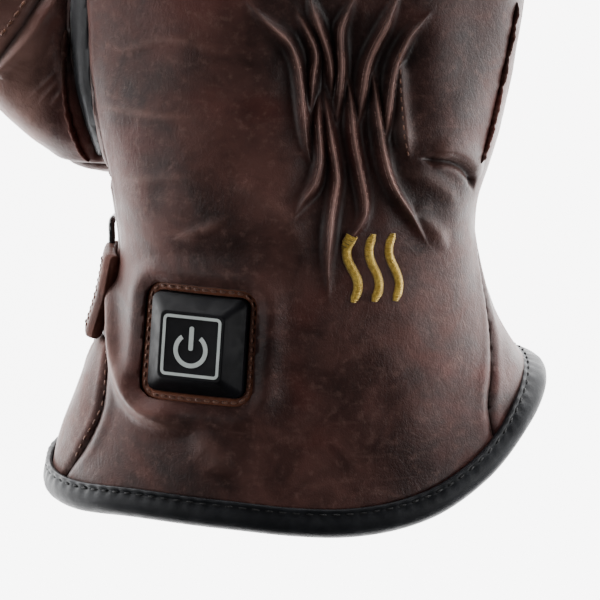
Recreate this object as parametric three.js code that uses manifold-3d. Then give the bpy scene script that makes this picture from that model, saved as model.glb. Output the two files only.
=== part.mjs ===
// Right-hand heated leather glove, lying palm down as it rests by itself.
// Units are millimetres. +Z is up, +Y runs towards the fingertips and +X towards the little finger.
// The origin is on the surface that the palm rests on, under the middle of the palm. Sizes along Y are
// laid out from the narrowest line of the wrist, and the finished glove is moved to its origin.
// The glove is a padded leather shell, hollow from the cuff to the fingertips, cut into its sewn panels.

import * as THREE from "three";
import { mergeVertices } from "three/addons/utils/BufferGeometryUtils.js";
import Module from "manifold-3d";

const wasm = await Module();
wasm.setup();

// Driving dimensions

const wall = 3; // leather, insulation and lining together
const seamGap = 0.3; // clearance between pieces that are sewn or seated together
const thinnest = wall / 5; // least half size of the hollow's ends
const palm = { length: 108, width: 114, thickness: 52, rest: 60 };
const wrist = { width: 91, thickness: 56, lift: 9.5 };
const hem = { width: 127, thickness: 79 };
const cuffLength = 68;
const gather = { x: 13.5, y: 34, width: 26, length: 62, depth: 1.6, ridge: 1.7, ridgeWidth: 1.5 };
const binding = { depth: 5.4, nose: 2.2, leather: 1.2 };
const button = { x: -25.6, y: -24.7, side: 25, corner: 2.2, rim: 0.7, rise: 4.4, bevel: 4.1, seat: 2 };
const windowFrame = { width: 1.9, sunk: 0.7, proud: 0.2 };
const strap = { y: -18.8, width: 21.5, thickness: 2.2, foldThickness: 3.9, foldLength: 9, endAngle: 315 };
const ring = { length: 31, across: 13, wire: 1.8, bend: 2, shiftY: 1.6, angle: 197 };
const emblem = { x: 18.1, y: -5.4, width: 13, height: 17, stroke: 2.2, proud: 1 };
const thumb = { width: 39, thickness: 30, reach: 126 };
const finger = { length: 90, width: 29, height: 27, rootHeight: 18.5 };
const fourchette = { height: 9, grip: 17, end: 0.86 };
const sideStrip = { height: 12.5, fingerHeight: 9, grip: 16 };

// Fingers: x and y are the root's place as shares of the palm's width and length, long and wide are
// shares of the longest finger's size, and fan is the angle in degrees that it points outwards
const fingerTable = [
  { name: "index", x: -0.352, y: 0.96, long: 0.92, wide: 0.98, fan: -6 },
  { name: "middle", x: -0.115, y: 1.0, long: 1.0, wide: 1.0, fan: -1 },
  { name: "ring", x: 0.126, y: 0.985, long: 0.93, wide: 0.965, fan: 4 },
  { name: "little", x: 0.35, y: 0.92, long: 0.745, wide: 0.9, fan: 10 },
];
const fingers = fingerTable.map((f) => ({
  ...f,
  length: f.long * finger.length,
  width: f.wide * finger.width,
}));

// Height of a finger's centreline as a share of its root's height, and its section as shares of its size
const fingerRows = [
  { along: -0.24, centre: 0.93, width: 0.92, height: 0.96 },
  { along: 0.05, centre: 1.02, width: 0.98, height: 1.0 },
  { along: 0.33, centre: 1.15, width: 1.0, height: 0.98 },
  { along: 0.6, centre: 1.02, width: 0.96, height: 0.93 },
  { along: 0.8, centre: 0.73, width: 0.91, height: 0.85 },
  { along: 0.92, centre: 0.49, width: 0.76, height: 0.7 },
  { along: 0.98, centre: 0.38, width: 0.45, height: 0.43 },
  { along: 1.0, centre: 0.35, width: 0.16, height: 0.16 },
];

// The hand's sections: along is a share of the cuff (below zero) or of the palm (above zero). hem and
// wrist say how far a section follows those sizes, and the palm's sizes take the rest. shift moves it
// sideways as a share of the palm's width, lift raises it as a share of the wrist's, and full
// scales its thickness.
const sectionRows = [
  { along: -1.1, hem: 1.1, wrist: -0.1, shift: -0.01, lift: -0.2, full: 1.0 },
  { along: -1.0, hem: 1.0, wrist: 0.0, shift: -0.01, lift: -0.2, full: 1.0 },
  { along: -0.84, hem: 0.84, wrist: 0.16, shift: -0.013, lift: -0.05, full: 1.0 },
  { along: -0.68, hem: 0.64, wrist: 0.36, shift: -0.008, lift: 0.25, full: 1.0 },
  { along: -0.51, hem: 0.4, wrist: 0.6, shift: -0.006, lift: 0.55, full: 1.0 },
  { along: -0.32, hem: 0.16, wrist: 0.84, shift: -0.002, lift: 0.88, full: 1.0 },
  { along: -0.12, hem: 0.0, wrist: 1.0, shift: -0.004, lift: 1.0, full: 1.0 },
  { along: 0.05, hem: 0.0, wrist: 1.0, shift: -0.013, lift: 0.95, full: 1.0 },
  { along: 0.14, hem: 0.0, wrist: 0.74, shift: -0.008, lift: 0.68, full: 1.02 },
  { along: 0.26, hem: 0.0, wrist: 0.4, shift: -0.01, lift: 0.2, full: 1.07 },
  { along: 0.39, hem: 0.0, wrist: 0.1, shift: -0.01, lift: -0.2, full: 1.08 },
  { along: 0.54, hem: 0.0, wrist: -0.04, shift: -0.006, lift: -0.32, full: 1.05 },
  { along: 0.69, hem: 0.0, wrist: 0.04, shift: -0.004, lift: -0.32, full: 0.97 },
  { along: 0.85, hem: 0.0, wrist: 0.08, shift: 0.0, lift: -0.26, full: 0.84 },
  { along: 1.0, hem: 0.0, wrist: 0.2, shift: 0.0, lift: 0.1, full: 0.64 },
  { along: 1.04, hem: 0.0, wrist: 0.6, shift: 0.0, lift: 0.6, full: 0.46 },
];

// How much shorter than the cuff's length the hem is cut, as a share of it, round the opening.
// An angle of 0 degrees is the little finger's side, 90 the back, 180 the thumb's side and 270 the palm.
const hemRows = [
  { angle: 0, short: 0.38 },
  { angle: 22, short: 0.29 },
  { angle: 42, short: 0.13 },
  { angle: 60, short: 0.015 },
  { angle: 80, short: -0.03 },
  { angle: 105, short: 0.0 },
  { angle: 128, short: 0.01 },
  { angle: 152, short: -0.02 },
  { angle: 180, short: -0.03 },
  { angle: 215, short: -0.01 },
  { angle: 250, short: 0.09 },
  { angle: 290, short: 0.21 },
  { angle: 330, short: 0.34 },
];

// Ridges of the elastic gather. x is a share of its width from its centre, y a share of its length
// from the elastic's line, from the ridge's upper end (a) over its middle (b) to its lower end (c).
const ridgeRows = [
  { ax: -0.96, ay: 0.42, bx: -0.54, by: 0.15, cx: -0.42, cy: -0.18, rise: 0.8 },
  { ax: -0.5, ay: 0.37, bx: -0.38, by: 0.25, cx: -0.41, cy: 0.06, rise: 0.7 },
  { ax: -0.42, ay: 0.45, bx: -0.26, by: 0.26, cx: -0.21, cy: 0.11, rise: 0.7 },
  { ax: -0.02, ay: 0.42, bx: -0.12, by: 0.24, cx: -0.15, cy: 0.0, rise: 0.9 },
  { ax: 0.42, ay: 0.45, bx: 0.14, by: 0.24, cx: 0.05, cy: -0.03, rise: 1.0 },
  { ax: 0.66, ay: 0.36, bx: 0.4, by: 0.22, cx: 0.29, cy: -0.11, rise: 1.0 },
  { ax: 0.45, ay: 0.26, bx: 0.46, by: 0.02, cx: 0.55, cy: -0.18, rise: 1.1 },
  { ax: -0.06, ay: 0.15, bx: 0.0, by: -0.11, cx: 0.1, cy: -0.42, rise: 1.0 },
  { ax: 0.18, ay: 0.18, bx: 0.28, by: -0.15, cx: 0.64, cy: -0.47, rise: 1.1 },
  { ax: -0.28, ay: 0.08, bx: -0.21, by: -0.14, cx: -0.26, cy: -0.52, rise: 1.0 },
  { ax: -0.34, ay: 0.05, bx: -0.32, by: -0.16, cx: -0.48, cy: -0.36, rise: 0.7 },
];

// Broad folds and creases: places as shares of the palm's width and length, rise in millimetres,
// falling away over spread from the line between the two ends
const foldRows = [
  { ax: 0.24, ay: 0.15, bx: 0.37, by: 0.1, rise: -2.6, spread: 3.2 },
  { ax: 0.25, ay: 0.24, bx: 0.4, by: 0.19, rise: 1.8, spread: 5.5 },
  { ax: 0.4, ay: -0.17, bx: 0.47, by: -0.46, rise: -2.2, spread: 4 },
  { ax: -0.4, ay: -0.13, bx: -0.34, by: -0.42, rise: 1.6, spread: 4.5 },
];

// The thumb's centreline: x and y as shares of the palm's width and length, z as a share of its
// thickness, then its section as shares of the thumb's width and thickness
const thumbRows = [
  { x: -0.16, y: 0.22, z: 0.62, width: 0.98, thickness: 1.0 },
  { x: -0.36, y: 0.245, z: 0.62, width: 1.02, thickness: 1.0 },
  { x: -0.465, y: 0.27, z: 0.62, width: 1.02, thickness: 1.0 },
  { x: -0.6, y: 0.385, z: 0.6, width: 0.96, thickness: 0.97 },
  { x: -0.74, y: 0.53, z: 0.54, width: 0.88, thickness: 0.92 },
  { x: -0.845, y: 0.71, z: 0.46, width: 0.79, thickness: 0.84 },
  { x: -0.889, y: 0.83, z: 0.38, width: 0.66, thickness: 0.7 },
  { x: -0.907, y: 0.89, z: 0.33, width: 0.42, thickness: 0.46 },
  { x: -0.914, y: 0.916, z: 0.31, width: 0.14, thickness: 0.14 },
];

// Height of the seam between the back and the palm, as shares of the palm's thickness, on the
// thumb's side and on the little finger's side
const seamRows = [
  { along: -1.4, radial: 0.76, ulnar: 1.25 },
  { along: -0.65, radial: 0.78, ulnar: 1.16 },
  { along: -0.42, radial: 0.78, ulnar: 0.94 },
  { along: -0.2, radial: 0.8, ulnar: 0.78 },
  { along: 0.05, radial: 0.82, ulnar: 0.68 },
  { along: 0.2, radial: 0.79, ulnar: 0.6 },
  { along: 0.42, radial: 0.7, ulnar: 0.53 },
  { along: 0.6, radial: 0.65, ulnar: 0.5 },
  { along: 0.8, radial: 0.56, ulnar: 0.44 },
];

// The thumb's side gusset of the cuff: low and high edges as shares of the hem's thickness
const gussetRows = [
  { along: -1.4, low: 0.19, high: 0.63 },
  { along: -1.0, low: 0.2, high: 0.63 },
  { along: -0.72, low: 0.28, high: 0.64 },
  { along: -0.55, low: 0.38, high: 0.64 },
  { along: -0.43, low: 0.5, high: 0.62 },
];

// The thumb's seam on the hand, seen from above, as shares of the palm's width and length
const thumbSeam = [
  { x: -0.4, y: 0.1 },
  { x: -0.45, y: 0.15 },
  { x: -0.49, y: 0.28 },
  { x: -0.516, y: 0.42 },
  { x: -0.521, y: 0.555 },
  { x: -0.58, y: 0.74 },
  { x: -0.68, y: 1.2 },
];

// The ring seam where the thumb's tube meets its base, seen from above, as shares of the palm's sizes
const thumbRingSeam = [
  { x: -0.8, y: 0.167 },
  { x: -0.446, y: 0.7 },
];

// Small helpers

const lerp = THREE.MathUtils.lerp;
const rad = THREE.MathUtils.degToRad;
const smooth = (low, high, v) => THREE.MathUtils.smoothstep(v, low, high);

/** A smooth curve through one column of a table, read at a place in its key column. */
function read(rows, key, column, at) {
  let i = rows.findIndex((row) => row[key] > at) - 1;
  if (i < 0) i = at >= rows.at(-1)[key] ? rows.length - 2 : 0;
  const [p, q] = [rows[i], rows[i + 1]];
  const slope = (j) => {
    const before = rows[Math.max(j - 1, 0)];
    const after = rows[Math.min(j + 1, rows.length - 1)];
    return (after[column] - before[column]) / (after[key] - before[key]);
  };
  const span = q[key] - p[key];
  const t = Math.min(Math.max((at - p[key]) / span, 0), 1);
  const [t2, t3] = [t * t, t * t * t];
  return (
    (2 * t3 - 3 * t2 + 1) * p[column] +
    (t3 - 2 * t2 + t) * span * slope(i) +
    (3 * t2 - 2 * t3) * q[column] +
    (t3 - t2) * span * slope(i + 1)
  );
}

/** How much shorter the hem is at an angle in degrees. */
function hemShort(angle) {
  const turn = THREE.MathUtils.euclideanModulo(angle, 360);
  const round = [
    { angle: hemRows.at(-1).angle - 360, short: hemRows.at(-1).short },
    ...hemRows,
    { angle: 360, short: hemRows[0].short },
    { angle: 360 + hemRows[1].angle, short: hemRows[1].short },
  ];
  return read(round, "angle", "short", turn);
}

/** The distance from a point in plan to the line between two points, and how far along it lies. */
function toLine(x, y, ax, ay, bx, by) {
  const [dx, dy] = [bx - ax, by - ay];
  const along = THREE.MathUtils.clamp(((x - ax) * dx + (y - ay) * dy) / (dx * dx + dy * dy), 0, 1);
  return { far: Math.hypot(x - ax - along * dx, y - ay - along * dy), along };
}

/** A closed solid from rings of points that all have the same count, its ends closed by fans. */
function loft(rings) {
  const count = rings[0].length;
  const positions = rings.flat().flatMap((p) => [p.x, p.y, p.z]);
  const faces = [];
  for (let r = 0; r + 1 < rings.length; r++)
    for (let i = 0; i < count; i++) {
      const [a, b] = [r * count + i, r * count + ((i + 1) % count)];
      faces.push(a, b, b + count, a, b + count, a + count);
    }
  for (const [r, turned] of [[0, true], [rings.length - 1, false]]) {
    const centre = rings[r].reduce((sum, p) => sum.add(p), new THREE.Vector3()).divideScalar(count);
    const middle = positions.push(centre.x, centre.y, centre.z) / 3 - 1;
    for (let i = 0; i < count; i++) {
      const [a, b] = [r * count + i, r * count + ((i + 1) % count)];
      faces.push(...(turned ? [b, a, middle] : [a, b, middle]));
    }
  }
  return facingOut(positions, faces);
}

/** A closed solid swept round a closed path, from rings that have the same count. */
function loop(rings) {
  const count = rings[0].length;
  const positions = rings.flat().flatMap((p) => [p.x, p.y, p.z]);
  const faces = [];
  for (let r = 0; r < rings.length; r++)
    for (let i = 0; i < count; i++) {
      const [a, b] = [r * count, ((r + 1) % rings.length) * count];
      const j = (i + 1) % count;
      faces.push(a + i, a + j, b + j, a + i, b + j, b + i);
    }
  return facingOut(positions, faces);
}

/** The solid of an indexed surface, turned round if its faces point inwards. */
function facingOut(positions, faces) {
  const build = (triangles) => {
    const geometry = new THREE.BufferGeometry();
    geometry.setAttribute("position", new THREE.Float32BufferAttribute(positions, 3));
    geometry.setIndex(triangles);
    return solid(geometry);
  };
  const made = build(faces);
  if (made.volume() > 0) return made;
  const turned = [];
  for (let i = 0; i < faces.length; i += 3) turned.push(faces[i], faces[i + 2], faces[i + 1]);
  return build(turned);
}

/** A manifold solid from a closed three.js geometry. */
function solid(geometry) {
  const plain = geometry.clone();
  plain.deleteAttribute("normal");
  plain.deleteAttribute("uv");
  const merged = mergeVertices(plain);
  return new wasm.Manifold(
    new wasm.Mesh({
      numProp: 3,
      vertProperties: merged.attributes.position.array,
      triVerts: new Uint32Array(merged.index.array),
    }),
  );
}

/** An upright prism over an outline in plan. */
function prism(outline, low, high) {
  const shape = new THREE.Shape(outline.map((p) => new THREE.Vector2(p.x, p.y)));
  const geometry = new THREE.ExtrudeGeometry(shape, { depth: high - low, bevelEnabled: false });
  return solid(geometry.translate(0, 0, low));
}

/** All of several solids as one. */
const joined = (solids) => solids.reduce((sum, s) => sum.add(s));

// The hand: one hollow form from the hem to the finger roots

/** The leather rests on the palm, and on the binding at the hem, so the cuff's floor rises there. */
function floorHeight(along, inset) {
  const bindingBelow = (binding.leather + seamGap) * (1 - smooth(-0.9, -0.62, along));
  return bindingBelow + inset;
}

/** The sizes of the hand's section at a place along it. */
function section(along) {
  const share = (column) => read(sectionRows, "along", column, along);
  const [h, w] = [share("hem"), share("wrist")];
  const base = share("lift") * wrist.lift;
  const thickness = share("full") * (h * hem.thickness + w * wrist.thickness + (1 - h - w) * palm.thickness);
  return {
    x: share("shift") * palm.width,
    z: base + thickness / 2,
    halfWidth: (h * hem.width + w * wrist.width + (1 - h - w) * palm.width) / 2,
    halfThickness: thickness / 2,
  };
}

/** The share of the gather's hollow that a point in plan lies in. */
function gatherShare(x, y) {
  const across = (x - gather.x) / (0.62 * gather.width);
  const along = (y - gather.y) / (0.5 * gather.length);
  return Math.exp(-(across ** 4)) * Math.exp(-(along ** 2) * 1.6);
}

/** How far the ridges and folds raise the leather's outside at a point in plan. */
function foldRise(x, y) {
  let rise = 0;
  for (const row of ridgeRows) {
    const at = (px, py) => [gather.x + row[px] * gather.width, gather.y + row[py] * gather.length];
    const [a, b, c] = [at("ax", "ay"), at("bx", "by"), at("cx", "cy")];
    const upper = toLine(x, y, ...a, ...b);
    const lower = toLine(x, y, ...b, ...c);
    const onUpper = upper.far < lower.far;
    const far = Math.min(upper.far, lower.far);
    const along = onUpper ? upper.along / 2 : 0.5 + lower.along / 2;
    const fade = Math.sin(Math.PI * THREE.MathUtils.clamp(along, 0.12, 0.88));
    rise = Math.max(rise, gather.ridge * row.rise * fade * Math.exp(-((far / gather.ridgeWidth) ** 2)));
  }
  for (const row of foldRows) {
    const line = toLine(x, y, row.ax * palm.width, row.ay * palm.length, row.bx * palm.width, row.by * palm.length);
    rise += row.rise * Math.exp(-((line.far / row.spread) ** 2));
  }
  return rise;
}

/** A point of the hand's surface. inset is its depth under the leather's outside. */
function handPoint(degrees, along, inset = 0, folds = true) {
  const s = section(along);
  const [c, n] = [Math.cos(rad(degrees)), Math.sin(rad(degrees))];
  const power = n > 0 ? 2 / 2.15 : 2 / 2.5;
  const round = (v, size) => Math.sign(v) * Math.abs(v) ** power * (size - inset);
  const x = s.x + round(c, s.halfWidth);
  const z = s.z + round(n, s.halfThickness);
  const short = hemShort(degrees) * Math.min(1, Math.abs(along)) ** 1.5;
  const y = along < 0 ? along * cuffLength * (1 - short) : along * palm.length;
  const normal = new THREE.Vector3(c / s.halfWidth, 0, n / s.halfThickness).normalize();
  const onBack = smooth(0.15, 0.4, n);
  const rise = onBack * ((folds ? foldRise(x, y) : 0) - gather.depth * gatherShare(x, y));
  const point = new THREE.Vector3(x, y, z).addScaledVector(normal, rise);
  point.z = Math.max(point.z, floorHeight(along, inset));
  return point;
}

/** Angles round the outside, closer together over the gather. */
function outerAngles() {
  const gatherFrom = 50;
  const gatherTo = 96;
  const gatherSteps = 18;
  const otherSteps = 22;
  const angles = [];
  for (let i = 0; i < gatherSteps; i++) angles.push(lerp(gatherFrom, gatherTo, i / gatherSteps));
  for (let i = 0; i < otherSteps; i++) angles.push(lerp(gatherTo, gatherFrom + 360, i / otherSteps));
  return angles;
}

/** A layer over the hand's outside between two heights above the leather. */
function layer(low, high) {
  return handSolid(-high).subtract(handSolid(-low));
}

const outerStations = [
  -1, -0.82, -0.65, -0.48, -0.32, -0.18, -0.06, 0.04, 0.09, 0.14, 0.19, 0.24, 0.29, 0.34, 0.39, 0.44, 0.51, 0.6,
  0.74, 0.88, 1, 1.04,
];
const innerStations = [-1, -0.65, -0.35, -0.05, 0.2, 0.4, 0.62, 0.86, 1.01];

/** The hand as one closed solid, inset under the leather's outside. It overruns the hem by reach. */
function handSolid(inset, { fine = true, reach = 0 } = {}) {
  const angles = fine ? outerAngles() : Array.from({ length: 22 }, (_, i) => (i * 360) / 22);
  const stations = fine ? outerStations : innerStations;
  const rings = stations.map((along) => angles.map((a) => handPoint(a, along, inset, fine)));
  const beyond = angles.map((a) => handPoint(a, -1, inset, fine).add(new THREE.Vector3(0, -reach, 0)));
  const cap = angles.map((a) => handPoint(a, -1, inset + 2 * wall, false).add(new THREE.Vector3(0, -reach, 0)));
  return loft(reach > 0 ? [cap, beyond, ...rings] : [cap, ...rings]);
}

// Fingers and thumb: rounded tubes along their own centrelines

/** A ring of a tube: a rounded oval across a direction, kept above a floor. */
function ovalRing(centre, direction, halfWidth, halfHeight, sides, floor) {
  const side = new THREE.Vector3(direction.y, -direction.x, 0).normalize();
  const up = new THREE.Vector3().crossVectors(side, direction).normalize();
  const power = 2 / 2.3;
  return Array.from({ length: sides }, (_, i) => {
    const a = (i / sides) * 2 * Math.PI;
    const [c, n] = [Math.cos(a), Math.sin(a)];
    const point = centre
      .clone()
      .addScaledVector(side, Math.sign(c) * Math.abs(c) ** power * halfWidth)
      .addScaledVector(up, Math.sign(n) * Math.abs(n) ** power * halfHeight);
    point.z = Math.max(point.z, floor);
    return point;
  });
}

/** A point of a finger's centreline. */
function fingerCentre(one, along) {
  const reach = along * one.length;
  return new THREE.Vector3(
    one.x * palm.width + Math.sin(rad(one.fan)) * reach,
    one.y * palm.length + Math.cos(rad(one.fan)) * reach,
    read(fingerRows, "along", "centre", along) * finger.rootHeight,
  );
}

/** One finger as a closed solid, inset under its outside. */
function fingerSolid(one, inset, sides) {
  const deepest = 1 - inset / one.length;
  const rings = fingerRows.map((row) => {
    const along = Math.min(row.along, deepest);
    const ahead = fingerCentre(one, along + 0.02).sub(fingerCentre(one, along - 0.02)).normalize();
    const halfWidth = Math.max((row.width * one.width) / 2 - inset, thinnest);
    const halfHeight = Math.max((row.height * finger.height) / 2 - inset, thinnest);
    const back = (inset / one.length) * smooth(0.7, 1, row.along);
    const centre = fingerCentre(one, row.along === 1 ? deepest : row.along - back);
    return ovalRing(centre, ahead, halfWidth, halfHeight, sides, inset);
  });
  return loft(rings);
}

/** A point of the thumb's centreline, by row number. */
function thumbCentre(i) {
  const row = thumbRows[i];
  return new THREE.Vector3(row.x * palm.width, row.y * palm.length, row.z * thumb.thickness);
}

/** The thumb as a closed solid, inset under its outside. */
function thumbSolid(inset, sides) {
  const last = thumbRows.length - 1;
  const rings = thumbRows.map((row, i) => {
    const ahead = thumbCentre(Math.min(i + 1, last)).sub(thumbCentre(Math.max(i - 1, 0))).normalize();
    const halfWidth = Math.max((row.width * thumb.width) / 2 - inset, thinnest);
    const halfHeight = Math.max((row.thickness * thumb.thickness) / 2 - inset, thinnest);
    const back = inset * smooth(last - 4, last, i);
    return ovalRing(thumbCentre(i).addScaledVector(ahead, -back), ahead, halfWidth, halfHeight, sides, inset);
  });
  return loft(rings);
}

// The padded shell, before it is cut into panels

const outside = joined([handSolid(0), ...fingers.map((f) => fingerSolid(f, 0, 10)), thumbSolid(0, 14)]);
const inside = joined([
  handSolid(wall, { fine: false, reach: 12 }),
  ...fingers.map((f) => fingerSolid(f, wall, 8)),
  thumbSolid(wall, 10),
]);
const shell = outside.subtract(inside);

// Where the panels meet

/** Height of the seam between back and palm above a point in plan. */
function seamHeight(x, y) {
  const along = y < 0 ? y / cuffLength : y / palm.length;
  const onHand = (column) => read(seamRows, "along", column, Math.min(along, 0.8)) * palm.thickness;
  const side = THREE.MathUtils.clamp(x / palm.width + 0.5, 0, 1);
  const hand = lerp(onHand("radial"), onHand("ulnar"), side);
  const centres = fingers.map((f) => {
    const share = THREE.MathUtils.clamp((y - f.y * palm.length) / (f.length * Math.cos(rad(f.fan))), 0, 1);
    return { ...fingerCentre(f, share), x: fingerCentre(f, share).x };
  });
  const right = THREE.MathUtils.clamp(centres.findIndex((c) => c.x > x), 0, 3);
  const i = x > centres[3].x ? 3 : Math.max(right, 1);
  const [p, q] = [centres[i - 1], centres[i]];
  const between = THREE.MathUtils.clamp((x - p.x) / (q.x - p.x), 0, 1);
  const onFingers = lerp(p.z, q.z, between);
  const onBoth = lerp(hand, onFingers, smooth(0.8, 1, along));
  const onThumb = lerp(thumbRows[4].z, thumbRows[7].z, smooth(0.5, 0.9, along)) * thumb.thickness;
  return x < -0.56 * palm.width && along > 0 ? onThumb : onBoth;
}

/** A solid under or over the seam's surface, half the seam's gap away from it. */
function seamSide(over) {
  const xs = [-1.2, -0.561, -0.559, -0.35, -0.117, 0.12, 0.35, 0.8].map((s) => s * palm.width);
  const rows = 18;
  const [from, to] = [-1.4 * cuffLength, 2.1 * palm.length];
  const limit = over ? 2.4 * hem.thickness : -hem.thickness;
  const step = over ? seamGap / 2 : -seamGap / 2;
  const rings = Array.from({ length: rows + 1 }, (_, r) => {
    const y = lerp(from, to, r / rows);
    const edge = xs.map((x) => new THREE.Vector3(x, y, seamHeight(x, y) + step));
    const far = [...xs].reverse().map((x) => new THREE.Vector3(x, y, limit));
    return [...edge, ...far];
  });
  return loft(rings);
}

/** A box-shaped sleeve along a path, whose rows hold a point, its reach sideways and its height. */
function band(rows, grow = 0) {
  const rings = rows.map(({ point, ahead, reach, height }, i) => {
    const side = new THREE.Vector3(ahead.y, -ahead.x, 0).normalize();
    const end = i === 0 ? -grow : i === rows.length - 1 ? grow : 0;
    return [[-1, -1], [1, -1], [1, 1], [-1, 1]].map(([s, h]) =>
      point
        .clone()
        .addScaledVector(ahead, end)
        .addScaledVector(side, s * (reach / 2 + grow))
        .add(new THREE.Vector3(0, 0, h * (height / 2 + grow))),
    );
  });
  return loft(rings);
}

/** The path of the fourchette between two neighbouring fingers. */
function fourchetteRows(a, b) {
  const shares = [-0.16, 0.2, 0.55, fourchette.end];
  return shares.map((share) => {
    const middle = (s) => fingerCentre(a, s).add(fingerCentre(b, s)).divideScalar(2);
    const spread = fingerCentre(b, share).x - fingerCentre(a, share).x - (a.width + b.width) / 2;
    const ahead = middle(share + 0.05).sub(middle(share - 0.05)).setZ(0).normalize();
    return { point: middle(share), ahead, reach: fourchette.grip + Math.max(spread, 0), height: fourchette.height };
  });
}

/** The path of the strip along the hand's thumb side and the index finger. */
function sideStripRows() {
  const onHand = [
    { along: 0.08, x: -0.42, height: 0.1 },
    { along: 0.22, x: -0.46, height: 0.6 },
    { along: 0.42, x: -0.5, height: 1 },
    { along: 0.75, x: -0.49, height: 0.9 },
  ].map(({ along, x, height }) => {
    const y = along * palm.length;
    return {
      point: new THREE.Vector3(x * palm.width, y, seamHeight(x * palm.width, y)),
      ahead: new THREE.Vector3(0, 1, 0),
      reach: sideStrip.grip,
      height: height * sideStrip.height,
    };
  });
  const index = fingers[0];
  const onFinger = [0.1, 0.35, 0.6, fourchette.end].map((share) => {
    const ahead = new THREE.Vector3(Math.sin(rad(index.fan)), Math.cos(rad(index.fan)), 0);
    const outwards = new THREE.Vector3(-ahead.y, ahead.x, 0);
    const point = fingerCentre(index, share).addScaledVector(outwards, index.width / 2);
    return { point, ahead, reach: sideStrip.grip, height: sideStrip.fingerHeight };
  });
  return [...onHand, ...onFinger];
}

/** The cuff's gusset on the thumb's side. */
function gussetBand(grow = 0) {
  const rings = gussetRows.map(({ along, low, high }, i) => {
    const end = i === gussetRows.length - 1 ? grow : 0;
    const y = along * cuffLength + end;
    const [near, far] = [-0.33 * hem.width, -0.75 * hem.width];
    const [z0, z1] = [low * hem.thickness - grow, high * hem.thickness + grow];
    return [[far, z0], [near, z0], [near, z1], [far, z1]].map(([x, z]) => new THREE.Vector3(x, y, z));
  });
  return loft(rings);
}

/** The region of the thumb, as a prism that stands on its seam and ends below the side strip. */
function thumbPrism(grow = 0) {
  const seam = thumbSeam.map((p) => ({ x: p.x * palm.width + grow, y: p.y * palm.length }));
  const [first, last] = [seam[0], seam.at(-1)];
  const far = -1.4 * palm.width;
  const foot = grow > 0 ? [{ x: first.x, y: first.y - grow }] : [];
  const outline = [...foot, ...seam, { x: far, y: last.y }, { x: far, y: first.y - grow }];
  const top = seamHeight(first.x - grow, first.y) + grow;
  return prism(outline.reverse(), -20, top);
}

/** The part of the thumb's region beyond its ring seam. */
function thumbTubePrism(grow) {
  const [a, b] = thumbRingSeam.map((p) => new THREE.Vector2(p.x * palm.width, p.y * palm.length));
  const out = new THREE.Vector2(a.y - b.y, b.x - a.x).normalize();
  if (out.x > 0) out.negate();
  const shift = out.clone().multiplyScalar(-grow);
  const deep = out.clone().multiplyScalar(thumb.reach);
  const wider = b.clone().sub(a);
  const outline = [
    a.clone().add(shift),
    b.clone().add(shift),
    b.clone().add(wider).add(shift),
    b.clone().add(wider).add(deep),
    a.clone().add(deep),
  ];
  return prism(outline, -20, 2 * palm.thickness);
}

// Cutting the shell into panels

const over = seamSide(true);
const under = seamSide(false);
const pairs = [0, 1, 2].map((i) => [fingers[i], fingers[i + 1]]);
const fourchettes = pairs.map(([a, b]) => ({
  name: `fourchette_${a.name}_${b.name}`,
  piece: shell.intersect(band(fourchetteRows(a, b))),
  room: band(fourchetteRows(a, b), seamGap),
}));
const stripRoom = band(sideStripRows(), seamGap);
const fourchetteRooms = fourchettes.map((f) => f.room);
const body = shell.subtract(joined([thumbPrism(seamGap), gussetBand(seamGap), stripRoom, ...fourchetteRooms]));
const thumbPart = shell.intersect(thumbPrism()).subtract(stripRoom);
const thumbTube = thumbPart.intersect(thumbTubePrism(0));
const stripPiece = shell.intersect(band(sideStripRows()));
const gussetPiece = shell.intersect(gussetBand());
const thumbBase = thumbPart.subtract(thumbTubePrism(seamGap));

// The switch in its leather window

/** The frame of axes on the hand's outside above a point in plan. */
function surfaceFrame(x, y) {
  let [degrees, along] = [90, y < 0 ? y / cuffLength : y / palm.length];
  for (let i = 0; i < 12; i++) {
    const p = handPoint(degrees, along, 0, false);
    degrees += (THREE.MathUtils.radToDeg(1) * (p.x - x)) / section(along).halfWidth;
    along -= (p.y - y) / (y < 0 ? cuffLength : palm.length);
  }
  const at = (d, a) => handPoint(degrees + d, along + a, 0, false);
  const across = at(-4, 0).sub(at(4, 0)).normalize();
  const ahead = at(0, 0.05).sub(at(0, -0.05)).normalize();
  const normal = new THREE.Vector3().crossVectors(across, ahead).normalize();
  const forward = new THREE.Vector3().crossVectors(normal, across);
  return new THREE.Matrix4().makeBasis(across, forward, normal).setPosition(at(0, 0));
}

/** A rounded square ring of points at a height, before it is set on the glove. */
function roundedSquare(half, corner, z) {
  const steps = 3;
  const points = [];
  for (let q = 0; q < 4; q++)
    for (let i = 0; i <= steps; i++) {
      const a = rad(90 * q + (90 * i) / steps);
      const [cx, cy] = [[1, 1], [-1, 1], [-1, -1], [1, -1]][q].map((s) => s * (half - corner));
      points.push(new THREE.Vector3(cx + corner * Math.cos(a), cy + corner * Math.sin(a), z));
    }
  return points;
}

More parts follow.
